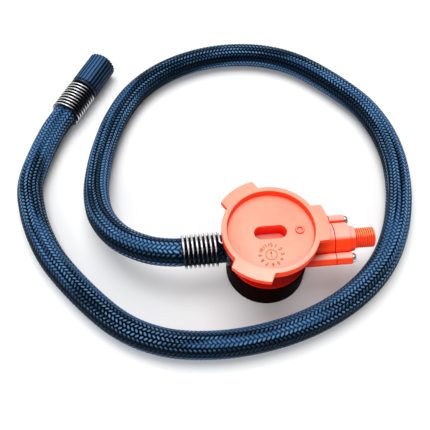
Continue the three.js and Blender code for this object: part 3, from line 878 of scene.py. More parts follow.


# Its sheen, highlights and far rim are painted light, by how squarely it faces the sky.
@dataclass(frozen=True)
class Braid(Finish):
    """A plaited textile cover, two yarns over and two under, on the hose's own UV map.

    The map's U counts turns round the hose and its V counts yarn widths along it.

    Attributes:
        shadow: Painted shade colour between the yarns.
        yarn: Colour of a yarn's body away from the sky.
        rubbed: Painted sheen colour of a yarn's body where it faces the sky.
        crown: Painted highlight colour of the crowns of the yarns where they face the sky.
        carriers: Yarns of each hand round the hose.
        length: The hose's length, in yarn widths.
        covered: How much of each end the strain reliefs cover with painted shade, in yarn widths.
        threads: Threads across one yarn.
        sky: The way that a fully lit side faces.
        body_step: How squarely a side faces where the painted sheen on the yarns' bodies begins and is full.
        crown_step: The same for their crowns.
        rim_step: The same for the far rim, which gets painted light again below these values.
        stretch: How slowly the streaks of painted sheen change along the hose, beside round it.
    """

    shadow: Colour
    yarn: Colour
    rubbed: Colour
    crown: Colour
    carriers: int
    length: float
    covered: float
    threads: int = 4
    sky: tuple[float, float, float] = (0.3, 0.8, 0.52)
    body_step: Station = (-0.15, 0.3)
    crown_step: Station = (-0.35, 0.12)
    rim_step: Station = (-0.88, -0.62)
    stretch: float = 0.02

    def across(self, graph: Graph, count: Socket) -> Socket:
        """The round section of the yarn that a count falls in.

        Args:
            graph: The material's graph.
            count: The count of yarns, with its fraction.

        Returns:
            The output that is 0 at a yarn's edges and 1 on top.
        """
        part = graph.math("FRACT", count)
        side = graph.math("SUBTRACT", graph.product(part, 2.0), 1.0)
        rest = graph.math("SUBTRACT", 1.0, graph.product(side, side))
        return graph.math("SQRT", graph.math("MAXIMUM", rest, 0.0))

    def wave(self, graph: Graph, own: Socket, other: Socket, lead: float) -> Socket:
        """How far a yarn rises over the others, from -1 to 1.

        Args:
            graph: The material's graph.
            own: The count of yarns of its own hand.
            other: The count of yarns of the other hand.
            lead: Where the wave starts.

        Returns:
            The wave's output.
        """
        gap = graph.math("SUBTRACT", other, graph.math("FLOOR", own))
        phase = graph.math("ADD", gap, lead)
        return graph.math("COSINE", graph.product(phase, math.pi / 2))

    def weave(self, graph: Graph, turn: Socket, along: Socket) -> tuple[Socket, Socket]:
        """The plait's relief.

        Args:
            graph: The material's graph.
            turn: The turn round the hose, from its own map.
            along: The place along the hose, from its own map.

        Returns:
            The height of the yarn on top, and the ripple of its threads from -1 to 1.
        """
        turns = graph.product(turn, float(self.carriers))
        right, left = graph.math("ADD", turns, along), graph.math("SUBTRACT", along, turns)
        heights, ripples = [], []
        for own, other, lead in zip((right, left), (left, right), PLAIT_LEADS):
            rise = graph.product(self.wave(graph, own, other, lead), PLAIT_RISE)
            heights.append(graph.math("ADD", rise, self.across(graph, own)))
            ripples.append(graph.math("SINE", graph.product(own, 2 * math.pi * self.threads)))
        is_left = graph.math("GREATER_THAN", heights[1], heights[0])
        is_right = graph.math("SUBTRACT", 1.0, is_left)
        on_top = (graph.product(ripples[0], is_right), graph.product(ripples[1], is_left))
        return graph.math("MAXIMUM", *heights), graph.math("ADD", *on_top)

    def streaks(
        self, graph: Graph, turn: Socket, along: Socket, scale: float, low: float
    ) -> Socket:
        """Long streaks along the hose, in which the painted sheen and highlights lie.

        Args:
            graph: The material's graph.
            turn: The turn round the hose, from its own map.
            along: The place along the hose, from its own map.
            scale: How fine they are; streaks of two scales don't follow each other.
            low: The cloud's value at which they begin, higher for fewer streaks.

        Returns:
            The output that is 1 in a streak and 0 beside it.
        """
        angle = graph.product(turn, 2 * math.pi)
        join = graph.tree.nodes.new("ShaderNodeCombineXYZ")
        for i, shape in enumerate(("COSINE", "SINE")):
            graph.link(graph.math(shape, angle), join.inputs[i])
        graph.link(graph.product(along, self.stretch), join.inputs[2])
        return graph.blend(graph.noise(scale, 1.0, place=join.outputs[0]), low, low + 0.1)

    def open_air(self, graph: Graph, along: Socket) -> Socket:
        """Where the hose is bare, beside the painted shade under the strain reliefs.

        Args:
            graph: The material's graph.
            along: The place along the hose, from its own map.

        Returns:
            The output that is 1 between the strain reliefs and 0 under them.
        """
        half = self.length / 2
        from_middle = graph.math("ABSOLUTE", graph.math("SUBTRACT", along, half))
        edge = half - self.covered
        return graph.blend(from_middle, edge - 1, edge + 1, 1.0, 0.0)

    def build(self, graph: Graph) -> None:
        """Wires the material.

        Args:
            graph: The material's graph.
        """
        turn, along, _ = graph.split(graph.coordinate("UV"))
        top, ripple = self.weave(graph, turn, along)
        # Painted sheen, highlights and rim towards the sky; painted shade under the reliefs.
        clear = self.open_air(graph, along)
        facing = graph.facing(self.sky)
        rim = graph.blend(facing, *self.rim_step, 1.0, 0.0)
        lit_body = graph.math("MAXIMUM", graph.blend(facing, *self.body_step), rim)
        lit_crown = graph.math("MAXIMUM", graph.blend(facing, *self.crown_step), rim)
        shine = graph.product(lit_body, self.streaks(graph, turn, along, 1.7, 0.44), clear)
        fine = graph.blend(self.streaks(graph, turn, along, 2.9, 0.45), 0, 1, 0.3, 1.0)
        dots = graph.blend(graph.product(lit_crown, fine, clear), 0, 1, 0.06, 1.0)
        raised = graph.product(graph.blend(top, 1.16, 1.42), graph.blend(ripple, -1.2, 0.6))
        crowns = graph.product(raised, graph.product(graph.cloud(0.75, 1.0, scale=220), dots))
        yarns = graph.mix(shine, self.yarn, self.rubbed)
        body = graph.mix(graph.blend(top, 0.8, 1.25), self.shadow, yarns)
        graph.set(Base_Color=graph.mix(crowns, body, self.crown))
        graph.set(Specular_IOR_Level=graph.blend(crowns, 0, 1, 0.03, 0.6), Roughness=0.34)
        graph.set(Specular_Tint=(0.4, 0.7, 1.0), Sheen_Tint=(0.4, 0.68, 1.0))
        graph.set(Sheen_Weight=0.12, Sheen_Roughness=0.12)
        graph.bump(graph.math("ADD", top, graph.product(ripple, 0.16)), 1.0, 0.5 * MM)


COLLAR_PLACE = middle("screw_collar")
PORT_HEIGHT = middle("inlet_cap").z

# Top, front, glare and crest colours are painted light; deep, groove, sheltered painted shade.
ORANGE = HeadPlastic(
    name="orange_moulding",
    slot="orange_plastic",
    deep=(0.95, 0.01, 0.002),
    side=(1.0, 0.05, 0.004),
    top=(1.0, 0.4, 0.275),
    light=HeadLight(COLLAR_PLACE.x, COLLAR_PLACE.y, PORT_HEIGHT),
    front=(1.0, 0.52, 0.4),
    glare=(1.0, 0.58, 0.47),
    crest=(1.0, 0.38, 0.15),
    groove=(0.65, 0.035, 0.004),
    sheltered=(0.19, 0.003, 0.002),
)
# Darker brown than the plate, as painted shade on the dial's relief; its top is painted light.
DIAL_ORANGE = MouldedPlastic(
    name="dial_moulding",
    slot="orange_plastic",
    deep=(0.3, 0.03, 0.008),
    side=(0.4, 0.06, 0.01),
    top=(0.6, 0.2, 0.05),
    grain=0.01 * MM,
)
# Near black; its red cast is painted light from the orange body, its top colour painted light.
DARK = MouldedPlastic(
    name="dark_moulding",
    slot="dark_plastic",
    deep=(0.002, 0.0002, 0.0002),
    side=(0.008, 0.0004, 0.0006),
    top=(0.03, 0.001, 0.002),
    gloss=0.4,
    shine=0.003,
)
# Dark navy; its top colour is a painted blue highlight, its deep colour painted shade.
NUT_BLACK = MouldedPlastic(
    name="nut_moulding",
    slot="nut_plastic",
    deep=(0.0015, 0.005, 0.012),
    side=(0.003, 0.01, 0.024),
    top=(0.036, 0.125, 0.29),
    gloss=0.42,
)
# Its light, grey and dark colours are painted reflections of sky, floor and surround.
BRIGHT_WIRE = PolishedWire(
    name="bright_wire",
    slot="spring_steel",
    light=(0.95, 0.95, 0.95),
    grey=(0.6, 0.62, 0.66),
    dark=(0.03, 0.034, 0.042),
)
ZINC = Metal("zinc_plate", "zinc_steel", (0.82, 0.83, 0.85), shine=0.2)
BLACKENED = Metal("blackened_steel", "dark_steel", (0.09, 0.12, 0.18), shine=0.3, metallic=0.85)
BRASS = Metal("turned_brass", "brass", (0.78, 0.56, 0.25), shine=0.22)
# Brass painted near black, as painted shade where barb and stem sit inside other parts.
BRASS_IN_PAINTED_SHADE = Metal("brass_in_painted_shade", "brass", (0.04, 0.032, 0.026), shine=0.5)
SEAL = Rubber("matt_rubber", "seal_rubber", (0.012, 0.012, 0.014), (0.03, 0.03, 0.034))
NYLON = Rubber("milky_nylon", "pale_nylon", (0.8, 0.77, 0.7), (0.68, 0.64, 0.55), matt=0.45)


def dress(piece: Piece, finish: Finish) -> None:
    """Gives a piece its finish and nothing else."""
    piece.data.materials.clear()
    piece.data.materials.append(finish.make())


def hand_over(piece: Piece, body: Body, finish: Finish, *nodes: str) -> Piece:
    """Dresses a finished piece, lets it ride on its body and reports it.

    Args:
        piece: The finished piece.
        body: The body that it moves with.
        finish: Its finish.
        *nodes: The CAD nodes that it stands for.

    Returns:
        The piece.
    """
    dress(piece, finish)
    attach(piece, body.value)
    if nodes:
        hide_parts(*nodes)
    log.info("%s: %d faces on %s", piece.name, len(piece.data.polygons), body.value)
    return piece


# ---------------------------------------------------------------- studio


@dataclass(frozen=True)
class Lamp:
    """A square lamp that looks at the head.

    Attributes:
        name: Its name.
        place: Where it hangs.
        size: Its side's length.
        watts: Its power.
    """

    name: str
    place: tuple[float, float, float]
    size: float
    watts: float

    def build(self) -> None:
        """Hangs the lamp."""
        data = bpy.data.lights.new(self.name, "AREA")
        data.shape, data.size, data.energy = "SQUARE", self.size, self.watts
        lamp = bpy.data.objects.new(self.name, data)
        bpy.context.scene.collection.objects.link(lamp)
        lamp.location = self.place
        lamp.rotation_mode = "QUATERNION"
        lamp.rotation_quaternion = (-Vector(self.place)).to_track_quat("-Z", "Y")


@dataclass
class Studio:
    """Camera, lamps and floor.

    Attributes:
        distance: From the camera to the height that it aims at, on the head's axis.
        aim_height: Of the point of the head's axis that it aims at.
        elevation: Of the camera above the horizon, in degrees.
        azimuth: Of the camera's look from +Y towards +X, in degrees.
        right: How far the picture's middle lies to the right of the head's axis.
        up: How far it lies above it.
        lens: Focal length, in millimetres.
        sensor: Width of the sensor, in millimetres.
        lamps: The lamps.
        surround: How strongly the surround lights the object.
        seen: How much brighter the surround looks to the camera.
        mirrored: How much brighter it looks in a mirror.
        floor_size: Side of the floor.
        glow: How strongly the floor's far parts glow, as the lamps don't reach them.
        glow_from: Where the glow begins and where it is full, from the origin.
    """

    distance: float = 229 * MM
    aim_height: float = 18 * MM
    elevation: float = 59.0
    azimuth: float = 5.2
    right: float = -20.3 * MM
    up: float = 12.2 * MM
    lens: float = 50.2
    sensor: float = 36.0
    lamps: tuple[Lamp, ...] = (
        Lamp("overhead", (-0.1, 0.35, 1.1), 0.9, 10.0),
        Lamp("front_fill", (-0.45, -0.75, 0.55), 0.5, 3.0),
    )
    surround: float = 0.5
    seen: float = 0.5
    mirrored: float = -0.35
    floor_size: float = 4.0
    glow: float = 0.5
    glow_from: Station = (0.2, 0.9)

    def set_camera(self, head: Vector) -> None:
        """Makes the scene's camera.

        Args:
            head: The head's axis at the surface that it stands on.
        """
        around, above = math.radians(self.azimuth), math.radians(self.elevation)
        flat = math.cos(above)
        look = Vector((math.sin(around) * flat, math.cos(around) * flat, -math.sin(above)))
        right = Vector((math.cos(around), -math.sin(around), 0))
        up = right.cross(look)
        data = bpy.data.cameras.new("camera")
        data.lens, data.sensor_width = self.lens, self.sensor
        data.clip_start, data.clip_end = 10 * MM, 5 * self.floor_size
        camera = bpy.data.objects.new("camera", data)
        bpy.context.scene.collection.objects.link(camera)
        aim = head + UP * self.aim_height
        camera.location = aim + right * self.right + up * self.up - look * self.distance
        camera.rotation_mode = "QUATERNION"
        camera.rotation_quaternion = Matrix((right, up, -look)).transposed().to_quaternion()
        bpy.context.scene.camera = camera

    def set_world(self) -> None:
        """A pale surround that shows white."""
        world = bpy.data.worlds.new("surround")
        world.use_nodes = True
        tree = world.node_tree
        tree.nodes.clear()
        background = tree.nodes.new("ShaderNodeBackground")
        output = tree.nodes.new("ShaderNodeOutputWorld")
        background.inputs["Color"].default_value = (1, 1, 1, 1)
        path = tree.nodes.new("ShaderNodeLightPath")
        total = None
        for ray, share in (("Is Camera Ray", self.seen), ("Is Glossy Ray", self.mirrored)):
            step = tree.nodes.new("ShaderNodeMath")
            step.operation = "MULTIPLY_ADD"
            tree.links.new(path.outputs[ray], step.inputs[0])
            step.inputs[1].default_value = share
            step.inputs[2].default_value = self.surround
            if total:
                tree.links.new(total, step.inputs[2])
            total = step.outputs[0]
        tree.links.new(total, background.inputs["Strength"])
        tree.links.new(background.outputs[0], output.inputs["Surface"])
        bpy.context.scene.world = world

    def set_floor(self) -> None:
        """A plain pale floor under everything."""
        deselect_all()
        bpy.ops.mesh.primitive_plane_add(size=self.floor_size, location=(0, 0, 0))
        floor = bpy.context.object
        floor.name = "floor"
        graph = Graph("floor")
        tint = graph.cloud(0.0, 1.0, scale=3, detail=2)
        graph.set(Base_Color=graph.mix(tint, (0.97, 0.975, 0.98), (0.99, 0.99, 0.99)))
        graph.set(Roughness=0.95, Specular_IOR_Level=0.1, Emission_Color=(1.0, 1.0, 1.0))
        across, deep, _ = graph.split(graph.coordinate("Object"))
        far_out = graph.distance(across, deep)
        graph.set(Emission_Strength=graph.blend(far_out, *self.glow_from, 0.0, self.glow))
        floor.data.materials.append(graph.material)

    def build(self, head: Vector) -> None:
        """Sets the whole studio.

        Args:
            head: The head's axis at the surface that it stands on.
        """
        self.set_camera(head)
        self.set_world()
        self.set_floor()
        for lamp in self.lamps:
            lamp.build()
        bpy.context.scene.view_settings.view_transform = "Standard"
        log.info("studio set")


# ---------------------------------------------------------------- hose


def smooth_line(points: Sequence[Vector], spacing: float) -> list[Vector]:
    """A centripetal spline through points, walked at even steps.

    Args:
        points: The points that it passes.
        spacing: The length of a step, about.

    Returns:
        Points along the spline, both ends among them.
    """
    pieces = 40  # between two of the points
    places = [2 * points[0] - points[1], *points, 2 * points[-1] - points[-2]]
    fine: list[Vector] = []
    for before, start, end, after in zip(places, places[1:], places[2:], places[3:]):
        knots = [0.0]
        for first, second in ((before, start), (start, end), (end, after)):
            knots.append(knots[-1] + math.sqrt((second - first).length))
        _, t1, t2, t3 = knots
        for i in range(pieces):
            t = t1 + (t2 - t1) * i / pieces
            a1 = before.lerp(start, t / t1)
            a2 = start.lerp(end, (t - t1) / (t2 - t1))
            a3 = end.lerp(after, (t - t2) / (t3 - t2))
            b1 = a1.lerp(a2, t / t2)
            b2 = a2.lerp(a3, (t - t1) / (t3 - t1))
            fine.append(b1.lerp(b2, (t - t1) / (t2 - t1)))
    fine.append(points[-1].copy())
    line = np.array(fine)
    along = np.concatenate([[0], np.cumsum(np.linalg.norm(np.diff(line, axis=0), axis=1))])
    even = np.linspace(0, along[-1], round(along[-1] / spacing) + 1)
    return [Vector(p) for p in np.stack([np.interp(even, along, line[:, k]) for k in range(3)], 1)]


@dataclass
class HoseLine:
    """The braided hose with the ferrule and the wound strain relief at each end.

    Attributes:
        head: The head's axis at the surface that it stands on.
        port_height: Height of the ports' axis.
        nut_axis: The connector's axis, from the mouth of the nut outwards.
        radius: The hose's own radius, over the braid.
        lie: Height of its middle line where it lies on the surface.
        start: Where it begins, from the head's axis.
        near_free_end: Where the head's strain relief ends, from the head's axis.
        straight_run: How far it runs straight on beyond each strain relief.
        lift_off: Where it is half way up to the connector's axis, beyond its strain relief.
        far_end: Where it ends, back from the nut's mouth.
        far_free_end: Where the far strain relief ends, back from the nut's mouth.
        ferrule_groove: Depth of a ferrule's grooves.
        sleeve_gap: Between the hose and a ferrule.
        wire: Radius of a strain relief's wire.
        wire_place: From the hose's middle to the middle of the wire.
        pitch: From one turn of the wire to the next.
        near_tail: Length of the near wire's straight end, beside the ferrule.
        carriers: Yarns of each hand round the hose.
        relief: Depth of the hollows between the yarns.
        samples: Mesh points across a yarn.
        descent: Points of the middle line on its way down from the head, from the head's axis.
        laid: Points of it where it lies on the surface, from the head's axis.
    """

    head: Vector
    port_height: float
    nut_axis: Axis
    radius: float = 5.4 * MM
    lie: float = 5.5 * MM
    start: float = 15.5 * MM
    near_free_end: float = 32.98 * MM
    straight_run: float = 2.0 * MM
    lift_off: float = 12.0 * MM
    far_end: float = 18.3 * MM
    far_free_end: float = 35.78 * MM
    ferrule_length: float = 0.9 * MM
    ferrule_radius: float = 6.5 * MM
    ferrule_groove: float = 0.25 * MM
    sleeve_gap: float = 0.3 * MM
    wire: float = 0.5 * MM
    wire_place: float = 6.2 * MM
    pitch: float = 1.68 * MM
    near_turns: float = 8.5
    far_turns: float = 9.1
    near_tail: float = 1.0 * MM
    carriers: int = 20
    relief: float = 0.4 * MM
    samples: int = 3
    descent: tuple[tuple[float, float, float], ...] = (
        (-0.0452, 0.0027, 0.0182),
        (-0.0564, 0.0102, 0.0158),
        (-0.0640, 0.0216, 0.0127),
        (-0.0670, 0.0350, 0.0094),
        (-0.0668, 0.0485, 0.0070),
    )
    laid: tuple[Station, ...] = (
        (-0.0646, 0.0625),
        (-0.0593, 0.0785),
        (-0.0507, 0.0935),
        (-0.0380, 0.1050),
        (-0.0210, 0.1127),
        (-0.0030, 0.1152),
        (0.0150, 0.1126),
        (0.0310, 0.1044),
        (0.0538, 0.0795),
        (0.0604, 0.0650),
        (0.0630, 0.0500),
        (0.0624, 0.0350),
        (0.0592, 0.0205),
        (0.0544, 0.0080),
        (0.0474, -0.0035),
        (0.0385, -0.0128),
        (0.0265, -0.0210),
        (0.0115, -0.0275),
        (-0.0055, -0.0314),
        (-0.0245, -0.0324),
        (-0.0430, -0.0293),
        (-0.0592, -0.0206),
        (-0.0826, 0.0054),
        (-0.0902, 0.0195),
        (-0.0946, 0.0335),
        (-0.0960, 0.0470),
    )

    @property
    def yarn_width(self) -> float:
        """Width of one yarn, measured round the hose."""
        return 2 * math.pi * self.radius / self.carriers

    def near(self, along: float) -> Vector:
        """A point of the outlet's axis, that far out from the head's axis."""
        return self.head + Vector((-along, 0, self.port_height))

    def far(self, back: float) -> Vector:
        """A point of the connector's axis, that far back from the mouth."""
        return self.nut_axis.at(-back)

    def route(self) -> list[Vector]:
        """The hose's way from the outlet to the connector.

        Returns:
            The points that its middle line passes.
        """
        lifting = self.far(self.far_free_end + self.lift_off)
        lifting.z = (self.lie + lifting.z) / 2
        return [
            self.near(self.start),
            self.near((self.start + self.near_free_end) / 2),
            self.near(self.near_free_end),
            self.near(self.near_free_end + self.straight_run),
            *(self.head + Vector(point) for point in self.descent),
            *(self.head + Vector((*point, self.lie)) for point in self.laid),
            lifting,
            self.far(self.far_free_end + self.straight_run),
            self.far(self.far_free_end),
            self.far((self.far_free_end + self.far_end) / 2),
            self.far(self.far_end),
        ]

    def yarn_height(self, right: np.ndarray, left: np.ndarray) -> np.ndarray:
        """How high the plait stands at each point.

        Args:
            right: The count of right-hand yarns at each point.
            left: The count of left-hand yarns at each point.

        Returns:
            Heights from about 0 in a hollow to 1 on a crown.
        """
        heights = []
        for own, other, lead in zip((right, left), (left, right), PLAIT_LEADS):
            section = np.sqrt(np.maximum(1 - (2 * (own % 1) - 1) ** 2, 0))
            wave = np.cos((other - np.floor(own) + lead) * math.pi / 2)
            heights.append(section + PLAIT_RISE * wave)
        return np.clip(np.maximum(*heights) / (1 + PLAIT_RISE), 0, 1)

    def build_hose(self) -> Piece:
        """Weaves the braided tube along its route, with a closed end at each ferrule.

        Returns:
            The hose.
        """
        line = smooth_line(self.route(), self.yarn_width / self.samples)
        self.line = line
        self.length = sum((b - a).length for a, b in zip(line, line[1:]))
        around = self.carriers * self.samples
        turn = np.arange(around) / around
        side = UP
        rings = []
        for i, place in enumerate(line):
            ahead = (line[min(i + 1, len(line) - 1)] - line[max(i - 1, 0)]).normalized()
            side = (side - ahead * side.dot(ahead)).normalized()
            other = np.array(ahead.cross(side))
            along = i / self.samples
            count = turn * self.carriers + 0.5 / self.samples
            high = self.yarn_height(count + along, along - count)
            far_out = self.radius - self.relief * (1 - high)
            round_way = 2 * math.pi * turn
            ring = np.outer(np.cos(round_way), np.array(side)) + np.outer(np.sin(round_way), other)
            rings.append(np.array(place) + ring * far_out[:, None])
        return self.skin(line, np.concatenate(rings), around)

    def skin(self, line: list[Vector], points: np.ndarray, around: int) -> Piece:
        """Makes the hose's mesh from its rings, with its UV map and caps.

        Args:
            line: The middle line.
            points: All the rings' points, one ring after another.
            around: How many points a ring has.

        Returns:
            The hose.
        """
        rings = len(line)
        near, far = len(points), len(points) + 1
        last = (rings - 1) * around
        faces, spots = [], []
        for i in range(rings - 1):
            low, high = i * around, (i + 1) * around
            for k in range(around):
                n = (k + 1) % around
                faces.append((low + k, low + n, high + n, high + k))
                spots.append([(k, i), (k + 1, i), (k + 1, i + 1), (k, i + 1)])
        for k in range(around):
            n = (k + 1) % around
            faces += [(near, n, k), (far, last + k, last + n)]
            spots += [[(k, 0)] * 3, [(k, rings)] * 3]
        mesh = bpy.data.meshes.new("hose_braid")
        mesh.from_pydata([*map(tuple, points), tuple(line[0]), tuple(line[-1])], [], faces)
        layer = mesh.uv_layers.new(name="plait")
        half = 0.5 / self.samples / self.carriers
        places = [(k / around + half, i / self.samples) for face in spots for k, i in face]
        layer.data.foreach_set("uv", [part for place in places for part in place])
        mesh.update()
        hose = bpy.data.objects.new("hose_braid", mesh)
        bpy.context.scene.collection.objects.link(hose)
        take_up(hose)
        bpy.ops.object.shade_smooth()
        return hose

    def wound(self, name: str, turns: float, tail: float, axis: Axis) -> Piece:
        """A wound strain relief, its last end bent into the ferrule.

        Args:
            name: The piece's name.
            turns: How many turns it has.
            tail: Length of the straight end beyond the bend, or 0.
            axis: Starts where the free end is and runs towards the ferrule.

        Returns:
            The wire.
        """
        piece = coil(name, self.wire, self.wire_place, self.pitch, turns)
        end = 2 * math.pi * turns
        radial = Vector((math.cos(end), math.sin(end), 0))
        last = radial * self.wire_place + UP * self.pitch * turns
        self.pick_end(piece, last)
        bpy.ops.mesh.spin(
            steps=5, angle=-math.pi / 2, center=last + UP * 2 * self.wire, axis=radial
        )
        if tail:
            bpy.ops.mesh.extrude_edges_move(TRANSFORM_OT_translate={"value": (0, 0, tail)})
        self.pick_end(piece, Vector((self.wire_place, 0, 0)))
        bpy.ops.mesh.extrude_edges_move(TRANSFORM_OT_translate={"value": (0, -2 * self.wire, 0)})
        close_ends(piece)
        return axis.lay(piece)

    def pick_end(self, piece: Piece, place: Vector) -> None:
        """Selects, in edit mode, the open edge of a wire near a place.

        Args:
            piece: The wire.
            place: The middle of its open end.
        """
        take_up(piece)
        reach = 1.2 * self.wire
        near = [(vertex.co - place).length < reach for vertex in piece.data.vertices]
        bpy.ops.object.mode_set(mode="EDIT")
        bpy.ops.mesh.select_mode(type="EDGE")
        bpy.ops.mesh.select_all(action="DESELECT")
        bpy.ops.object.mode_set(mode="OBJECT")
        uses = [0] * len(piece.data.edges)
        for loop in piece.data.loops:
            uses[loop.edge_index] += 1
        for edge, count in zip(piece.data.edges, uses):
            edge.select = count == 1 and all(near[v] for v in edge.vertices)
        bpy.ops.object.mode_set(mode="EDIT")

    def ferrule(self, name: str, axis: Axis) -> Piece:
        """A crimped ferrule with two grooves.

        Args:
            name: The piece's name.
            axis: Starts at its one face and runs to the other.

        Returns:
            The ferrule.
        """
        inner = self.radius + self.sleeve_gap
        outer, long = self.ferrule_radius, self.ferrule_length
        groove = outer - self.ferrule_groove
        shape = ((-0.12, outer), (-0.06, groove), (0.06, groove), (0.12, outer))
        profile = [(inner, 0), (outer, 0)]
        for middle_share in (0.3, 0.7):
            profile += [(radius, (middle_share + share) * long) for share, radius in shape]
        profile += [(outer, long), (inner, long), (inner, 0)]
        piece = turned(name, profile, sides=80, ring=True)
        round_edges(piece, 0.12 * MM)
        return axis.lay(piece)

    def build(self) -> None:
        """Builds and dresses the hose, both strain reliefs and both ferrules."""
        hose = hand_over(self.build_hose(), Body.HEAD, self.finish(), "hose")
        to_head, to_nut = Vector((1, 0, 0)), self.nut_axis.direction
        near_free = Axis(self.near(self.near_free_end), to_head)
        far_free = Axis(self.far(self.far_free_end), to_nut)
        near_face = Axis(self.near(self.start + self.ferrule_length), to_head)
        far_face = Axis(self.far(self.far_end + self.ferrule_length), to_nut)
        near_relief = self.wound("near_relief", self.near_turns, self.near_tail, near_free)
        far_relief = self.wound("far_relief", self.far_turns, 0, far_free)
        self.parts = [
            hose,
            hand_over(near_relief, Body.HEAD, BRIGHT_WIRE, "near_spring"),
            hand_over(far_relief, Body.HEAD, BRIGHT_WIRE, "far_spring"),
            hand_over(self.ferrule("near_crimp", near_face), Body.HEAD, BLACKENED, "near_ferrule"),
            hand_over(self.ferrule("far_crimp", far_face), Body.HEAD, BLACKENED, "far_ferrule"),
        ]

    def finish(self) -> Braid:
        """The braid's finish."""
        return Braid(
            "hose_plait",
            "braided_hose",
            # Painted shade between the yarns, painted sheen and a painted highlight on crowns.
            shadow=(0.0004, 0.0006, 0.0015),
            yarn=(0.0012, 0.005, 0.016),
            rubbed=(0.055, 0.155, 0.35),
            crown=(0.25, 0.56, 1.0),
            carriers=self.carriers,
            length=self.length / self.yarn_width,
            covered=(self.near_free_end - self.start) / self.yarn_width,
        )

    def declare(self) -> None:
        log.info("hose declared, %.3f m long", self.length)


# ---------------------------------------------------------------- valve head


@dataclass
class ValveBody:
    """The orange body: top plate, lugs, neck, flange, ports and screw bosses.

    Attributes:
        head: The head's axis at the surface that it stands on.
        port_height: Height of the ports' axis.
        height: Of the whole head above the surface that it stands on.
        plate_edge: Thickness of the plate's rim.
        dish_depth: How deep the dish's floor lies under the rim.
        web: Thickness of the dish's floor.
        edge: Size of the plate's rounds.
        lug_radius: Of the circle that the lugs reach.
        lug_root: How far outside the dish's wall a lug begins.
        lug_span: Angle that a lug takes up, in degrees.
        lug_turn: Angle of the first lug's middle, in degrees.
        flare: Height of the curve between the flange and the neck.
        fillet: Between the neck and the plate.
        spigot_radius: Of the part that the collar's seal sits on.
        inlet_face: Where the inlet ends, from the head's axis.
        outlet_face: Where the outlet ends, from the head's axis.
        boss_offset: From the inlet's axis to a screw boss.
        key_ring_offset: From the head's axis to the small ring beside the slot.
        key_ring_width: Its inner and outer radius.
        key_ring_edge: The size of its chamfers.
        dial_place: The dial's centre, from the head's axis.
        dial_reach: From its centre to its numbers.
        dial_number: Height of a number.
        dial_ring: Radius of the ring round the arrow.
        dial_line: Width of that ring.
        dial_relief: How far the dial stands out.
        dial_arrow: Length, width and place of the arrow's shaft and tip, in radii of the ring.
        bore: Radius of the air channels.
        channel_start: Where the channel begins, on the outlet's side of the axis.
        shank_bore: Radius of the hole for the barbed tail.
        shank_end: Where that hole ends, on the outlet's side of the axis.
        valve_bore: Radius of the check valve's chamber.
        valve_top: Height of its top.
    """

    head: Vector
    port_height: float
    height: float = 32.5 * MM
    plate_radius: float = 18.0 * MM
    plate_edge: float = 3.5 * MM
    dish_depth: float = 3.0 * MM
    dish_radius: float = 16.0 * MM
    web: float = 1.5 * MM
    edge: float = 0.35 * MM
    lug_radius: float = 21.3 * MM
    lug_root: float = 0.7 * MM
    lug_thickness: float = 2.3 * MM
    lug_span: float = 41.0
    lug_count: int = 3
    lug_turn: float = 2.5
    neck_radius: float = 10.2 * MM
    flange_radius: float = 15.2 * MM
    flange_bottom: float = 12.9 * MM
    flange_edge: float = 0.7 * MM
    flare: float = 5.0 * MM
    fillet: float = 1.0 * MM
    spigot_radius: float = 8.8 * MM
    spigot_bottom: float = 6.2 * MM
    port_radius: float = 6.35 * MM
    inlet_face: float = 24.1 * MM
    outlet_face: float = 14.2 * MM
    boss_radius: float = 2.3 * MM
    boss_offset: float = 8.15 * MM
    slot_length: float = 12.2 * MM
    slot_width: float = 5.5 * MM
    slot_depth: float = 6.0 * MM
    key_ring_offset: float = 10.8 * MM
    key_ring_width: Station = (1.0 * MM, 1.6 * MM)
    key_ring_height: float = 0.5 * MM
    key_ring_edge: float = 0.15 * MM
    dial_place: Station = (-0.9 * MM, -9.2 * MM)
    dial_reach: float = 3.95 * MM
    dial_numbers: int = 12
    dial_number: float = 1.85 * MM
    dial_ring: float = 1.9 * MM
    dial_line: float = 0.22 * MM
    dial_relief: float = 0.1 * MM
    dial_arrow: tuple[tuple[float, float, float], ...] = ((1.3, 0.16, 0.0), (0.5, 0.42, 0.52))
    bore: float = 1.7 * MM
    channel_start: float = 10.0 * MM
    shank_bore: float = 3.3 * MM
    shank_end: float = 7.0 * MM
    valve_bore: float = 2.6 * MM
    valve_top: float = 15.6 * MM
    valve_offset: float = 4.6 * MM

    @property
    def floor(self) -> float:
        """Height of the dish's floor."""
        return self.height - self.dish_depth

    def upright(self, offset: float = 0.0) -> Axis:
        """The head's axis, or one beside it along X."""
        return Axis(self.head + Vector((offset, 0, 0)), UP)

    def along(self, side: float = 0.0) -> Axis:
        """The ports' axis, or one beside it along Y."""
        return Axis(self.head + Vector((0, side, self.port_height)), Vector((1, 0, 0)))

    def plate_and_neck(self) -> Piece:
        """The round core, turned in one.

        Returns:
            The core.
        """
        steps = 10
        reach = self.flange_radius - self.neck_radius
        flange_top = self.flange_bottom + self.flange_edge
        flare = []
        for i in range(steps + 1):
            turn = i / steps * math.pi / 2
            rise = self.flare * (1 - math.cos(turn))
            flare.append((self.flange_radius - reach * math.sin(turn), flange_top + rise))
        under = self.floor - self.web
        edge = self.edge
        profile = [
            (self.spigot_radius, self.spigot_bottom),
            (self.spigot_radius, self.flange_bottom),
            (self.flange_radius, self.flange_bottom),
            *flare,
            (self.neck_radius, under - self.fillet),
            (self.neck_radius + self.fillet, under),
            (self.dish_radius, under),
            (self.plate_radius, self.height - self.plate_edge),
            *corner(self.plate_radius, self.height, (0, -edge), (-edge, 0)),
            *corner(self.dish_radius, self.height, (edge, 0), (0, -edge)),
            *corner(self.dish_radius, self.floor, (0, edge), (-edge, 0)),
        ]
        return self.upright().lay(turned("valve_head_body", profile, sides=160))

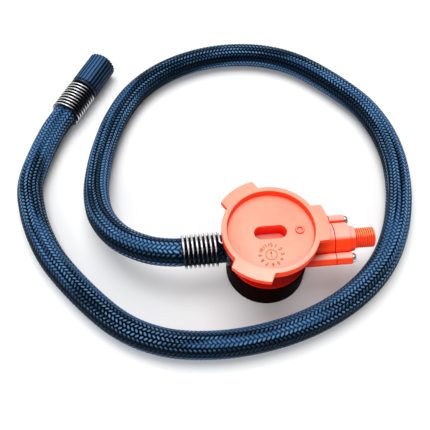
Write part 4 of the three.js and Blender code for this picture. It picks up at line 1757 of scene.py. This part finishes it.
    def lug(self, turn: float) -> Piece:
        """One bayonet lug, spun from its section and trimmed to parallel ends.

        Args:
            turn: The angle of its middle, in degrees.

        Returns:
            The lug.
        """
        deselect_all()
        inner = self.dish_radius + self.lug_root
        wide = self.lug_radius - inner
        half = self.lug_radius * math.sin(math.radians(self.lug_span / 2))
        spare = math.radians(2)
        reach = math.asin(half / inner) + spare
        bpy.ops.mesh.primitive_plane_add(size=1, rotation=(math.pi / 2, 0, 0))
        piece = bpy.context.object
        bpy.ops.object.transform_apply(rotation=True)
        with editing(piece):
            bpy.ops.transform.resize(value=(wide, 1, self.lug_thickness))
            lift = self.height - self.lug_thickness / 2
            bpy.ops.transform.translate(value=(inner + wide / 2, 0, lift))
            bpy.ops.mesh.spin(steps=20, angle=-2 * reach, center=(0, 0, 0), axis=(0, 0, 1))
            bpy.ops.mesh.select_all(action="SELECT")
            bpy.ops.mesh.normals_make_consistent(inside=False)
        piece.data.transform(Matrix.Rotation(-reach, 4, "Z"))
        with editing(piece):
            for side in (-1, 1):
                bpy.ops.mesh.select_all(action="SELECT")
                plane = {"plane_co": (0, side * half, 0), "plane_no": (0, side, 0)}
                bpy.ops.mesh.bisect(use_fill=True, clear_outer=True, **plane)
        piece.data.transform(Matrix.Rotation(math.radians(turn), 4, "Z"))
        bevel(piece, 0.25 * MM, 40)
        return self.upright().lay(piece)

    def key_ring(self) -> Piece:
        """The small raised ring beside the slot.

        Returns:
            The ring, with its foot inside the plate.
        """
        low, high = self.floor - self.key_ring_height, self.floor + self.key_ring_height
        inner, outer = self.key_ring_width
        edge = self.key_ring_edge
        profile = [
            (inner, low),
            (outer, low),
            (outer, high - edge),
            (outer - edge, high),
            (inner + edge, high),
            (inner, high - edge),
            (inner, low),
        ]
        ring = turned("key_ring", profile, sides=40, ring=True)
        return self.upright(self.key_ring_offset).lay(ring)

    def build(self) -> None:
        """Joins, cuts and dresses the body and its dial."""
        body = self.plate_and_neck()
        for i in range(self.lug_count):
            combine(body, self.lug(self.lug_turn + i * 360 / self.lug_count), Mate.JOIN)
        out, into = self.outlet_face, self.inlet_face
        combine(body, rod(self.port_radius, -out, into, self.along(), 96), Mate.JOIN)
        for side in (-self.boss_offset, self.boss_offset):
            boss = rod(self.boss_radius, self.neck_radius / 2, into, self.along(side), 48)
            combine(body, boss, Mate.JOIN)
        combine(body, self.key_ring(), Mate.JOIN)
        slot_bottom = self.floor - self.slot_depth
        slot = stadium("slot", self.slot_length, self.slot_width, slot_bottom, self.height)
        combine(body, self.upright().lay(slot), Mate.CUT)
        below = self.spigot_bottom - BEYOND
        valve, filling = self.upright(self.valve_offset), self.upright(-self.valve_offset)
        for radius, low, high, axis, sides in (
            (self.shank_bore, -out - BEYOND, -self.shank_end, self.along(), 48),
            (self.bore, -self.channel_start, into + BEYOND, self.along(), 32),
            (self.valve_bore, below, self.valve_top, valve, 40),
            (self.bore, below, self.port_height, filling, 32),
        ):
            combine(body, rod(radius, low, high, axis, sides), Mate.CUT)
        round_edges(body, 0.12 * MM, 38)
        hand_over(body, Body.HEAD, ORANGE, "valve_body")
        self.build_dial()

    def number(self, number: int, centre: Vector) -> Piece:
        """One moulded number, with its foot towards the dial's centre.

        Args:
            number: The number, from 1.
            centre: The dial's centre.

        Returns:
            The number.
        """
        deselect_all()
        bpy.ops.object.text_add()
        mark = bpy.context.object
        text = mark.data
        text.body = str(number)
        text.align_x, text.align_y = "CENTER", "CENTER"
        text.size = self.dial_number
        text.extrude = self.dial_relief
        text.offset = self.dial_number / 40
        text.resolution_u = 3
        bpy.ops.object.convert(target="MESH")
        turn = Matrix.Rotation(-2 * math.pi * number / self.dial_numbers, 4, "Z")
        out = Matrix.Translation((0, self.dial_reach, 0))
        mark.data.transform(Matrix.Translation(centre) @ turn @ out)
        return mark

    def build_dial(self) -> None:
        """The moulded dial: twelve plain numbers round an arrow in a ring."""
        centre = self.head + Vector((*self.dial_place, self.floor))
        marks = [self.number(i + 1, centre) for i in range(self.dial_numbers)]
        inner, outer, rise = self.dial_ring, self.dial_ring + self.dial_line, self.dial_relief
        profile = [(inner, -rise), (outer, -rise), (outer, rise), (inner, rise), (inner, -rise)]
        ring = turned("dial_ring", profile, sides=48, ring=True)
        ring.data.transform(Matrix.Translation(centre))
        marks.append(ring)
        for shares in self.dial_arrow:
            marks.append(self.dial_bar(centre, *(self.dial_ring * share for share in shares)))
        deselect_all()
        for mark in marks:
            mark.select_set(True)
        bpy.context.view_layer.objects.active = marks[0]
        bpy.ops.object.join()
        dial = bpy.context.object
        dial.name = "mould_dial"
        hand_over(dial, Body.HEAD, DIAL_ORANGE)

    def dial_bar(self, centre: Vector, long: float, wide: float, shift: float) -> Piece:
        """A bar of the dial's arrow, drawn in at its far end.

        Args:
            centre: The dial's centre.
            long: The bar's length.
            wide: Its width at its near end.
            shift: How far its middle lies from the centre.

        Returns:
            The bar.
        """
        drawn_in = 0.15
        deselect_all()
        bpy.ops.mesh.primitive_plane_add(size=1)
        bar = bpy.context.object
        with editing(bar):
            bpy.ops.transform.resize(value=(wide, long, 1))
            bpy.ops.transform.translate(value=(0, shift, -self.dial_relief))
            rise = (0, 0, 2 * self.dial_relief)
            bpy.ops.mesh.extrude_region_move(TRANSFORM_OT_translate={"value": rise})
            pick_faces(bar, lambda spot, normal: normal.y > 0.9)
            bpy.ops.transform.resize(value=(drawn_in, 1, 1), center_override=(0, shift, 0))
            bpy.ops.mesh.select_all(action="SELECT")
            bpy.ops.mesh.normals_make_consistent(inside=False)
        bar.data.transform(Matrix.Translation(centre))
        return bar


@dataclass
class AirInlet:
    """The screwed cap with the threaded nipple.

    Attributes:
        axis: The ports' axis, from the head's axis along +X.
        face: Where the cap begins, from the head's axis.
        edge: Size of the cap's round.
        step_length: Of the step between the cap and the nipple.
        step_taper: How much the step draws in towards the nipple.
        chamfer: Of the step's and the nipple's ends.
        threads: How many ridges the nipple has.
        bore: Radius of the nipple's hole.
        boss_offset: From the axis to a screw.
        screw_reach: How far a screw reaches into the body.
        recess_depth: Of the cross recess in a screw's head.
        recess_reach: Length of its arms, from end to end.
        recess_width: Width of its arms.
        gap: Between a screw and what is round it.
    """

    axis: Axis
    face: float = 24.4 * MM
    cap_length: float = 5.9 * MM
    cap_radius: float = 6.35 * MM
    edge: float = 0.5 * MM
    step_length: float = 2.3 * MM
    step_radius: float = 5.1 * MM
    step_taper: float = 0.3 * MM
    chamfer: float = 0.2 * MM
    nipple_radius: float = 3.85 * MM
    nipple_length: float = 7.8 * MM
    threads: int = 9
    thread_depth: float = 0.4 * MM
    bore: float = 2.1 * MM
    boss_radius: float = 2.3 * MM
    boss_offset: float = 8.15 * MM
    screw_radius: float = 1.1 * MM
    screw_reach: float = 9.0 * MM
    screw_point: float = 0.8 * MM
    screw_head: float = 1.8 * MM
    screw_head_height: float = 1.4 * MM
    recess_depth: float = 0.7 * MM
    recess_reach: float = 2.0 * MM
    recess_width: float = 0.5 * MM
    gap: float = 0.3 * MM

    def beside(self, side: float) -> Axis:
        """The axis of a screw."""
        return Axis(self.axis.origin + Vector((0, side * self.boss_offset, 0)), self.axis.direction)

    def cap(self) -> Piece:
        """The cap: a turned tube and nipple, two bosses and their holes.

        Returns:
            The cap.
        """
        end = self.face + self.cap_length
        start = end + self.step_length
        tip = start + self.nipple_length
        root = self.nipple_radius - self.thread_depth
        step_end = self.step_radius - self.step_taper
        profile = [
            (self.cap_radius, self.face),
            *corner(self.cap_radius, end, (0, -self.edge), (-self.edge, 0)),
            (self.step_radius, end),
            (step_end, start - self.chamfer),
            (step_end - self.chamfer, start),
            (root, start),
            (root, tip - self.chamfer),
            (root - self.chamfer, tip),
        ]
        cap = self.axis.lay(turned("air_inlet_cap", profile, sides=96))
        for side in (-1, 1):
            combine(cap, rod(self.boss_radius, self.face, end, self.beside(side), 48), Mate.JOIN)
        low = self.face - BEYOND
        for side in (-1, 1):
            hole = rod(self.screw_radius + self.gap, low, end + BEYOND, self.beside(side), 32)
            combine(cap, hole, Mate.CUT)
        combine(cap, rod(self.bore, low, tip + BEYOND, self.axis, 48), Mate.CUT)
        round_edges(cap, 0.12 * MM, 50)
        combine(cap, self.thread(root, start), Mate.JOIN)
        drop_slivers(cap)
        shade(cap, 36)
        return cap

    def thread(self, root: float, start: float) -> Piece:
        """The nipple's ridges, on a thin sleeve.

        Args:
            root: The radius between the ridges.
            start: Where the nipple starts along the axis.

        Returns:
            The ridges in one piece.
        """
        pitch = self.nipple_length / (self.threads + 0.5)
        inner, sleeve = (root + self.bore) / 2, root + 0.01 * MM
        first, last = start + 0.4 * pitch, start + (self.threads + 0.4) * pitch
        ridge = ((0, sleeve), (0.3, self.nipple_radius), (0.58, self.nipple_radius), (0.88, sleeve))
        profile = [(inner, first), (sleeve, first)]
        for i in range(self.threads):
            foot = start + (i + 0.5) * pitch
            profile += [(radius, foot + share * pitch) for share, radius in ridge]
        profile += [(sleeve, last), (inner, last), (inner, first)]
        return self.axis.lay(turned("thread", profile, sides=96, ring=True))

    def screw(self, name: str, side: int) -> Piece:
        """A pan-head screw with a cross recess.

        Args:
            name: The piece's name.
            side: -1 for the front one and 1 for the back one.

        Returns:
            The screw.
        """
        under = self.face + self.cap_length + self.gap
        head, high = self.screw_head, self.screw_head_height
        pan = ((1, 0), (1, 0.35), (0.92, 0.65), (0.7, 0.9), (0.4, 1))
        profile = [
            (0.4 * self.screw_radius, self.face - self.gap - self.screw_reach),
            (self.screw_radius, self.face - self.screw_reach + self.screw_point),
            (self.screw_radius, under),
            *((share * head, under + rise * high) for share, rise in pan),
        ]
        piece = self.beside(side).lay(turned(name, profile, sides=40))
        top = Matrix.Translation(self.beside(side).at(under + high))
        long, wide = self.recess_reach, self.recess_width
        for across, up in ((long, wide), (wide, long)):
            deselect_all()
            bpy.ops.mesh.primitive_cube_add(size=1)
            arm = bpy.context.object
            with editing(arm):
                bpy.ops.transform.resize(value=(2 * self.recess_depth, across, up))
            arm.data.transform(top)
            combine(piece, arm, Mate.CUT)
        round_edges(piece, 0.05 * MM, 40)
        return piece

    def build(self) -> None:
        """Builds and dresses the cap and its screws."""
        hand_over(self.cap(), Body.HEAD, ORANGE, "inlet_cap")
        for side, end in ((-1, "front"), (1, "back")):
            screw = self.screw(f"{end}_screw", side)
            hand_over(screw, Body.HEAD, ZINC, f"inlet_screw_{end}")


@dataclass
class ScrewCollar:
    """The dark collar that holds the head on a bottle's neck.

    Attributes:
        axis: The head's axis from the surface that it stands on.
        top_wall: Thickness of its top.
        bore: Radius inside, between the threads.
        hole: Radius of the hole in its top.
        edge: Size of its outer rounds.
        thread_shape: Height and depth of a thread's corners, as shares of its depth.
    """

    axis: Axis
    radius: float = 15.8 * MM
    height: float = 12.6 * MM
    top_wall: float = 2.1 * MM
    bore: float = 13.2 * MM
    hole: float = 9.7 * MM
    edge: float = 0.5 * MM
    thread_depth: float = 0.8 * MM
    thread_pitch: float = 2.6 * MM
    thread_turns: int = 3
    thread_shape: tuple[Station, ...] = ((1, 0), (0.35, 0.85), (-0.35, 0.85), (-1, 0))

    def build(self) -> None:
        """Turns and dresses the collar."""
        lip = self.height - self.top_wall
        edge = self.edge
        profile = [
            (self.bore, 0),
            *corner(self.radius, 0, (-edge, 0), (0, edge)),
            *corner(self.radius, self.height, (0, -edge), (-edge, 0)),
            (self.hole, self.height),
            (self.hole, lip),
            (self.bore, lip),
        ]
        for i in range(self.thread_turns, 0, -1):
            middle_height = (i - 0.5) * self.thread_pitch
            for rise, depth in self.thread_shape:
                place = middle_height + rise * self.thread_depth
                profile.append((self.bore - depth * self.thread_depth, place))
        profile.append((self.bore, 0))
        piece = self.axis.lay(turned("bottle_collar", profile, sides=128, ring=True))
        round_edges(piece, 0.1 * MM)
        hand_over(piece, Body.COLLAR, DARK, "screw_collar")


# ---------------------------------------------------------------- tyre valve connector


@dataclass
class TyreConnector:
    """The ribbed nut that screws onto a tyre valve.

    Attributes:
        axis: Its axis; the mouth is at 0 and the hose on the negative side.
        radius: Over the ribs.
        edge: Size of the chamfer at each end.
        back_wall: Thickness of the wall that the stem turns in.
        lead_in: Size of the chamfer at the thread's mouth.
        thread_depth: How deep the thread reaches.
        groove: Depth of the thread's grooves.
        recess_radius: Of the shallow recess at the back.
    """

    axis: Axis
    radius: float = 6.6 * MM
    length: float = 18.0 * MM
    ribs: int = 24
    sides_per_rib: int = 6
    rib_depth: float = 0.5 * MM
    edge: float = 0.6 * MM
    back_wall: float = 2.2 * MM
    lead_in: float = 0.5 * MM
    thread_radius: float = 3.95 * MM
    thread_depth: float = 8.3 * MM
    thread_pitch: float = 0.9 * MM
    thread_turns: int = 8
    groove: float = 0.25 * MM
    chamber_radius: float = 4.6 * MM
    stem_hole: float = 3.2 * MM
    recess_radius: float = 4.9 * MM
    recess_depth: float = 1.0 * MM

    @property
    def core(self) -> float:
        """Radius between the ribs."""
        return self.radius - self.rib_depth

    def profile(self) -> Profile:
        """The nut's section without its ribs.

        Returns:
            Its stations, from the recess at the back round to the same place.
        """
        back, edge = -self.length, self.edge
        floor = back + self.recess_depth
        wall = floor + self.back_wall
        screw, pitch = self.thread_radius, self.thread_pitch
        stations = [
            (self.stem_hole, floor),
            (self.recess_radius, floor),
            (self.recess_radius, back),
            (self.core - edge, back),
            (self.core, back + edge),
            (self.core, -edge),
            (self.core - edge, 0),
            (screw + self.lead_in, 0),
            (screw, -self.lead_in),
        ]
        for i in range(1, self.thread_turns + 1):
            stations += [(screw + self.groove, (0.35 - i) * pitch), (screw, -i * pitch)]
        stations += [
            (screw, -self.thread_depth),
            (self.chamber_radius, -self.thread_depth),
            (self.chamber_radius, wall),
            (self.stem_hole, wall),
            (self.stem_hole, floor),
        ]
        return stations

    def on_rib(self, spot: Vector, _normal: Vector) -> bool:
        """Whether a face of the turned nut is to be drawn out into a rib.

        Args:
            spot: The face's centre.
            _normal: Its normal, which doesn't matter.

        Returns:
            Whether it is.
        """
        step = 2 * math.pi / self.ribs
        slack = 0.1 * MM
        on_skin = spot.xy.length > self.core - slack
        between_ends = self.edge - self.length < spot.z < -self.edge
        return on_skin and between_ends and math.atan2(spot.y, spot.x) % step < step / 2

    def build(self) -> Piece:
        """Turns the nut, draws its ribs out and dresses it.

        Returns:
            The nut.
        """
        sides = self.ribs * self.sides_per_rib
        nut = turned("ribbed_nut", self.profile(), sides, ring=True)
        with editing(nut):
            pick_faces(nut, self.on_rib)
            bpy.ops.mesh.extrude_region_shrink_fatten(
                TRANSFORM_OT_shrink_fatten={"value": self.rib_depth}
            )
            bpy.ops.mesh.select_all(action="SELECT")
            bpy.ops.mesh.normals_make_consistent(inside=False)
        round_edges(nut, 0.14 * MM, 30)
        self.axis.lay(nut)
        return hand_over(nut, Body.NUT, NUT_BLACK, "valve_nut")


# ---------------------------------------------------------------- pieces inside


@dataclass
class InnerParts:
    """The CAD pieces that keep their shape and get a finish, and the poppet's return spring.

    Attributes:
        wire: Radius of the spring's wire.
        turns: How many turns it has.
        finishes: The finish of each node that keeps its shape.
    """

    wire: float = 0.225 * MM
    turns: int = 3
    finishes: dict[str, Finish] = field(
        default_factory=lambda: {
            "inlet_seal": SEAL,
            "outlet_seal": SEAL,
            "poppet_seal": SEAL,
            "neck_seal": SEAL,
            "nut_seal": SEAL,
            "check_poppet": BRASS,
            "outlet_barb": BRASS_IN_PAINTED_SHADE,
            "connector_stem": BRASS_IN_PAINTED_SHADE,
            "depressor_pin": BRASS,
            "nut_clip": BRIGHT_WIRE,
            "check_plug": NYLON,
            "collar_retainer": NYLON,
        }
    )

    def return_spring(self, low: Vector, high: Vector) -> Piece:
        """The spring under the poppet, wound in the room of its CAD node.

        Args:
            low: The room's lowest corner.
            high: Its highest corner.

        Returns:
            The spring.
        """
        place = (high.x - low.x) / 2 - self.wire
        pitch = (high.z - low.z - 2 * self.wire) / self.turns
        spring = coil("return_spring", self.wire, place, pitch, self.turns)
        close_ends(spring)
        centre = (low + high) / 2
        return Axis(Vector((centre.x, centre.y, low.z + self.wire)), UP).lay(spring)

    def build(self) -> None:
        """Winds the spring and gives each inner piece its finish."""
        low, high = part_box("poppet_spring")
        spring = hand_over(
            self.return_spring(low, high), Body.HEAD, BRIGHT_WIRE, "poppet_spring"
        )
        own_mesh(spring)
        for node, finish in self.finishes.items():
            piece = frame["nodes"][node]
            dress(piece, finish)
            log.info("%s: kept from the CAD", node)


# ---------------------------------------------------------------- assembly


def main() -> None:
    """Builds the camera, the hose and then the rest."""
    head = Vector((COLLAR_PLACE.x, COLLAR_PLACE.y, 0))
    mount = next(m for m in frame["record"]["mounts"] if m["name"] == "tyre_valve_face")
    joint = next(j for j in frame["joints"] if j["name"] == "nut_turn")
    nut_axis = Axis(Vector(joint["pos_m"]), Vector(mount["axis"]).normalized())

    Studio().build(head)
    hose = HoseLine(head, PORT_HEIGHT, nut_axis)
    hose.build()
    nut = TyreConnector(nut_axis).build()
    body = ValveBody(head, PORT_HEIGHT)
    body.build()
    AirInlet(body.along()).build()
    ScrewCollar(body.upright()).build()
    InnerParts().build()
    hose.declare()


if __name__ == "__main__":
    main()
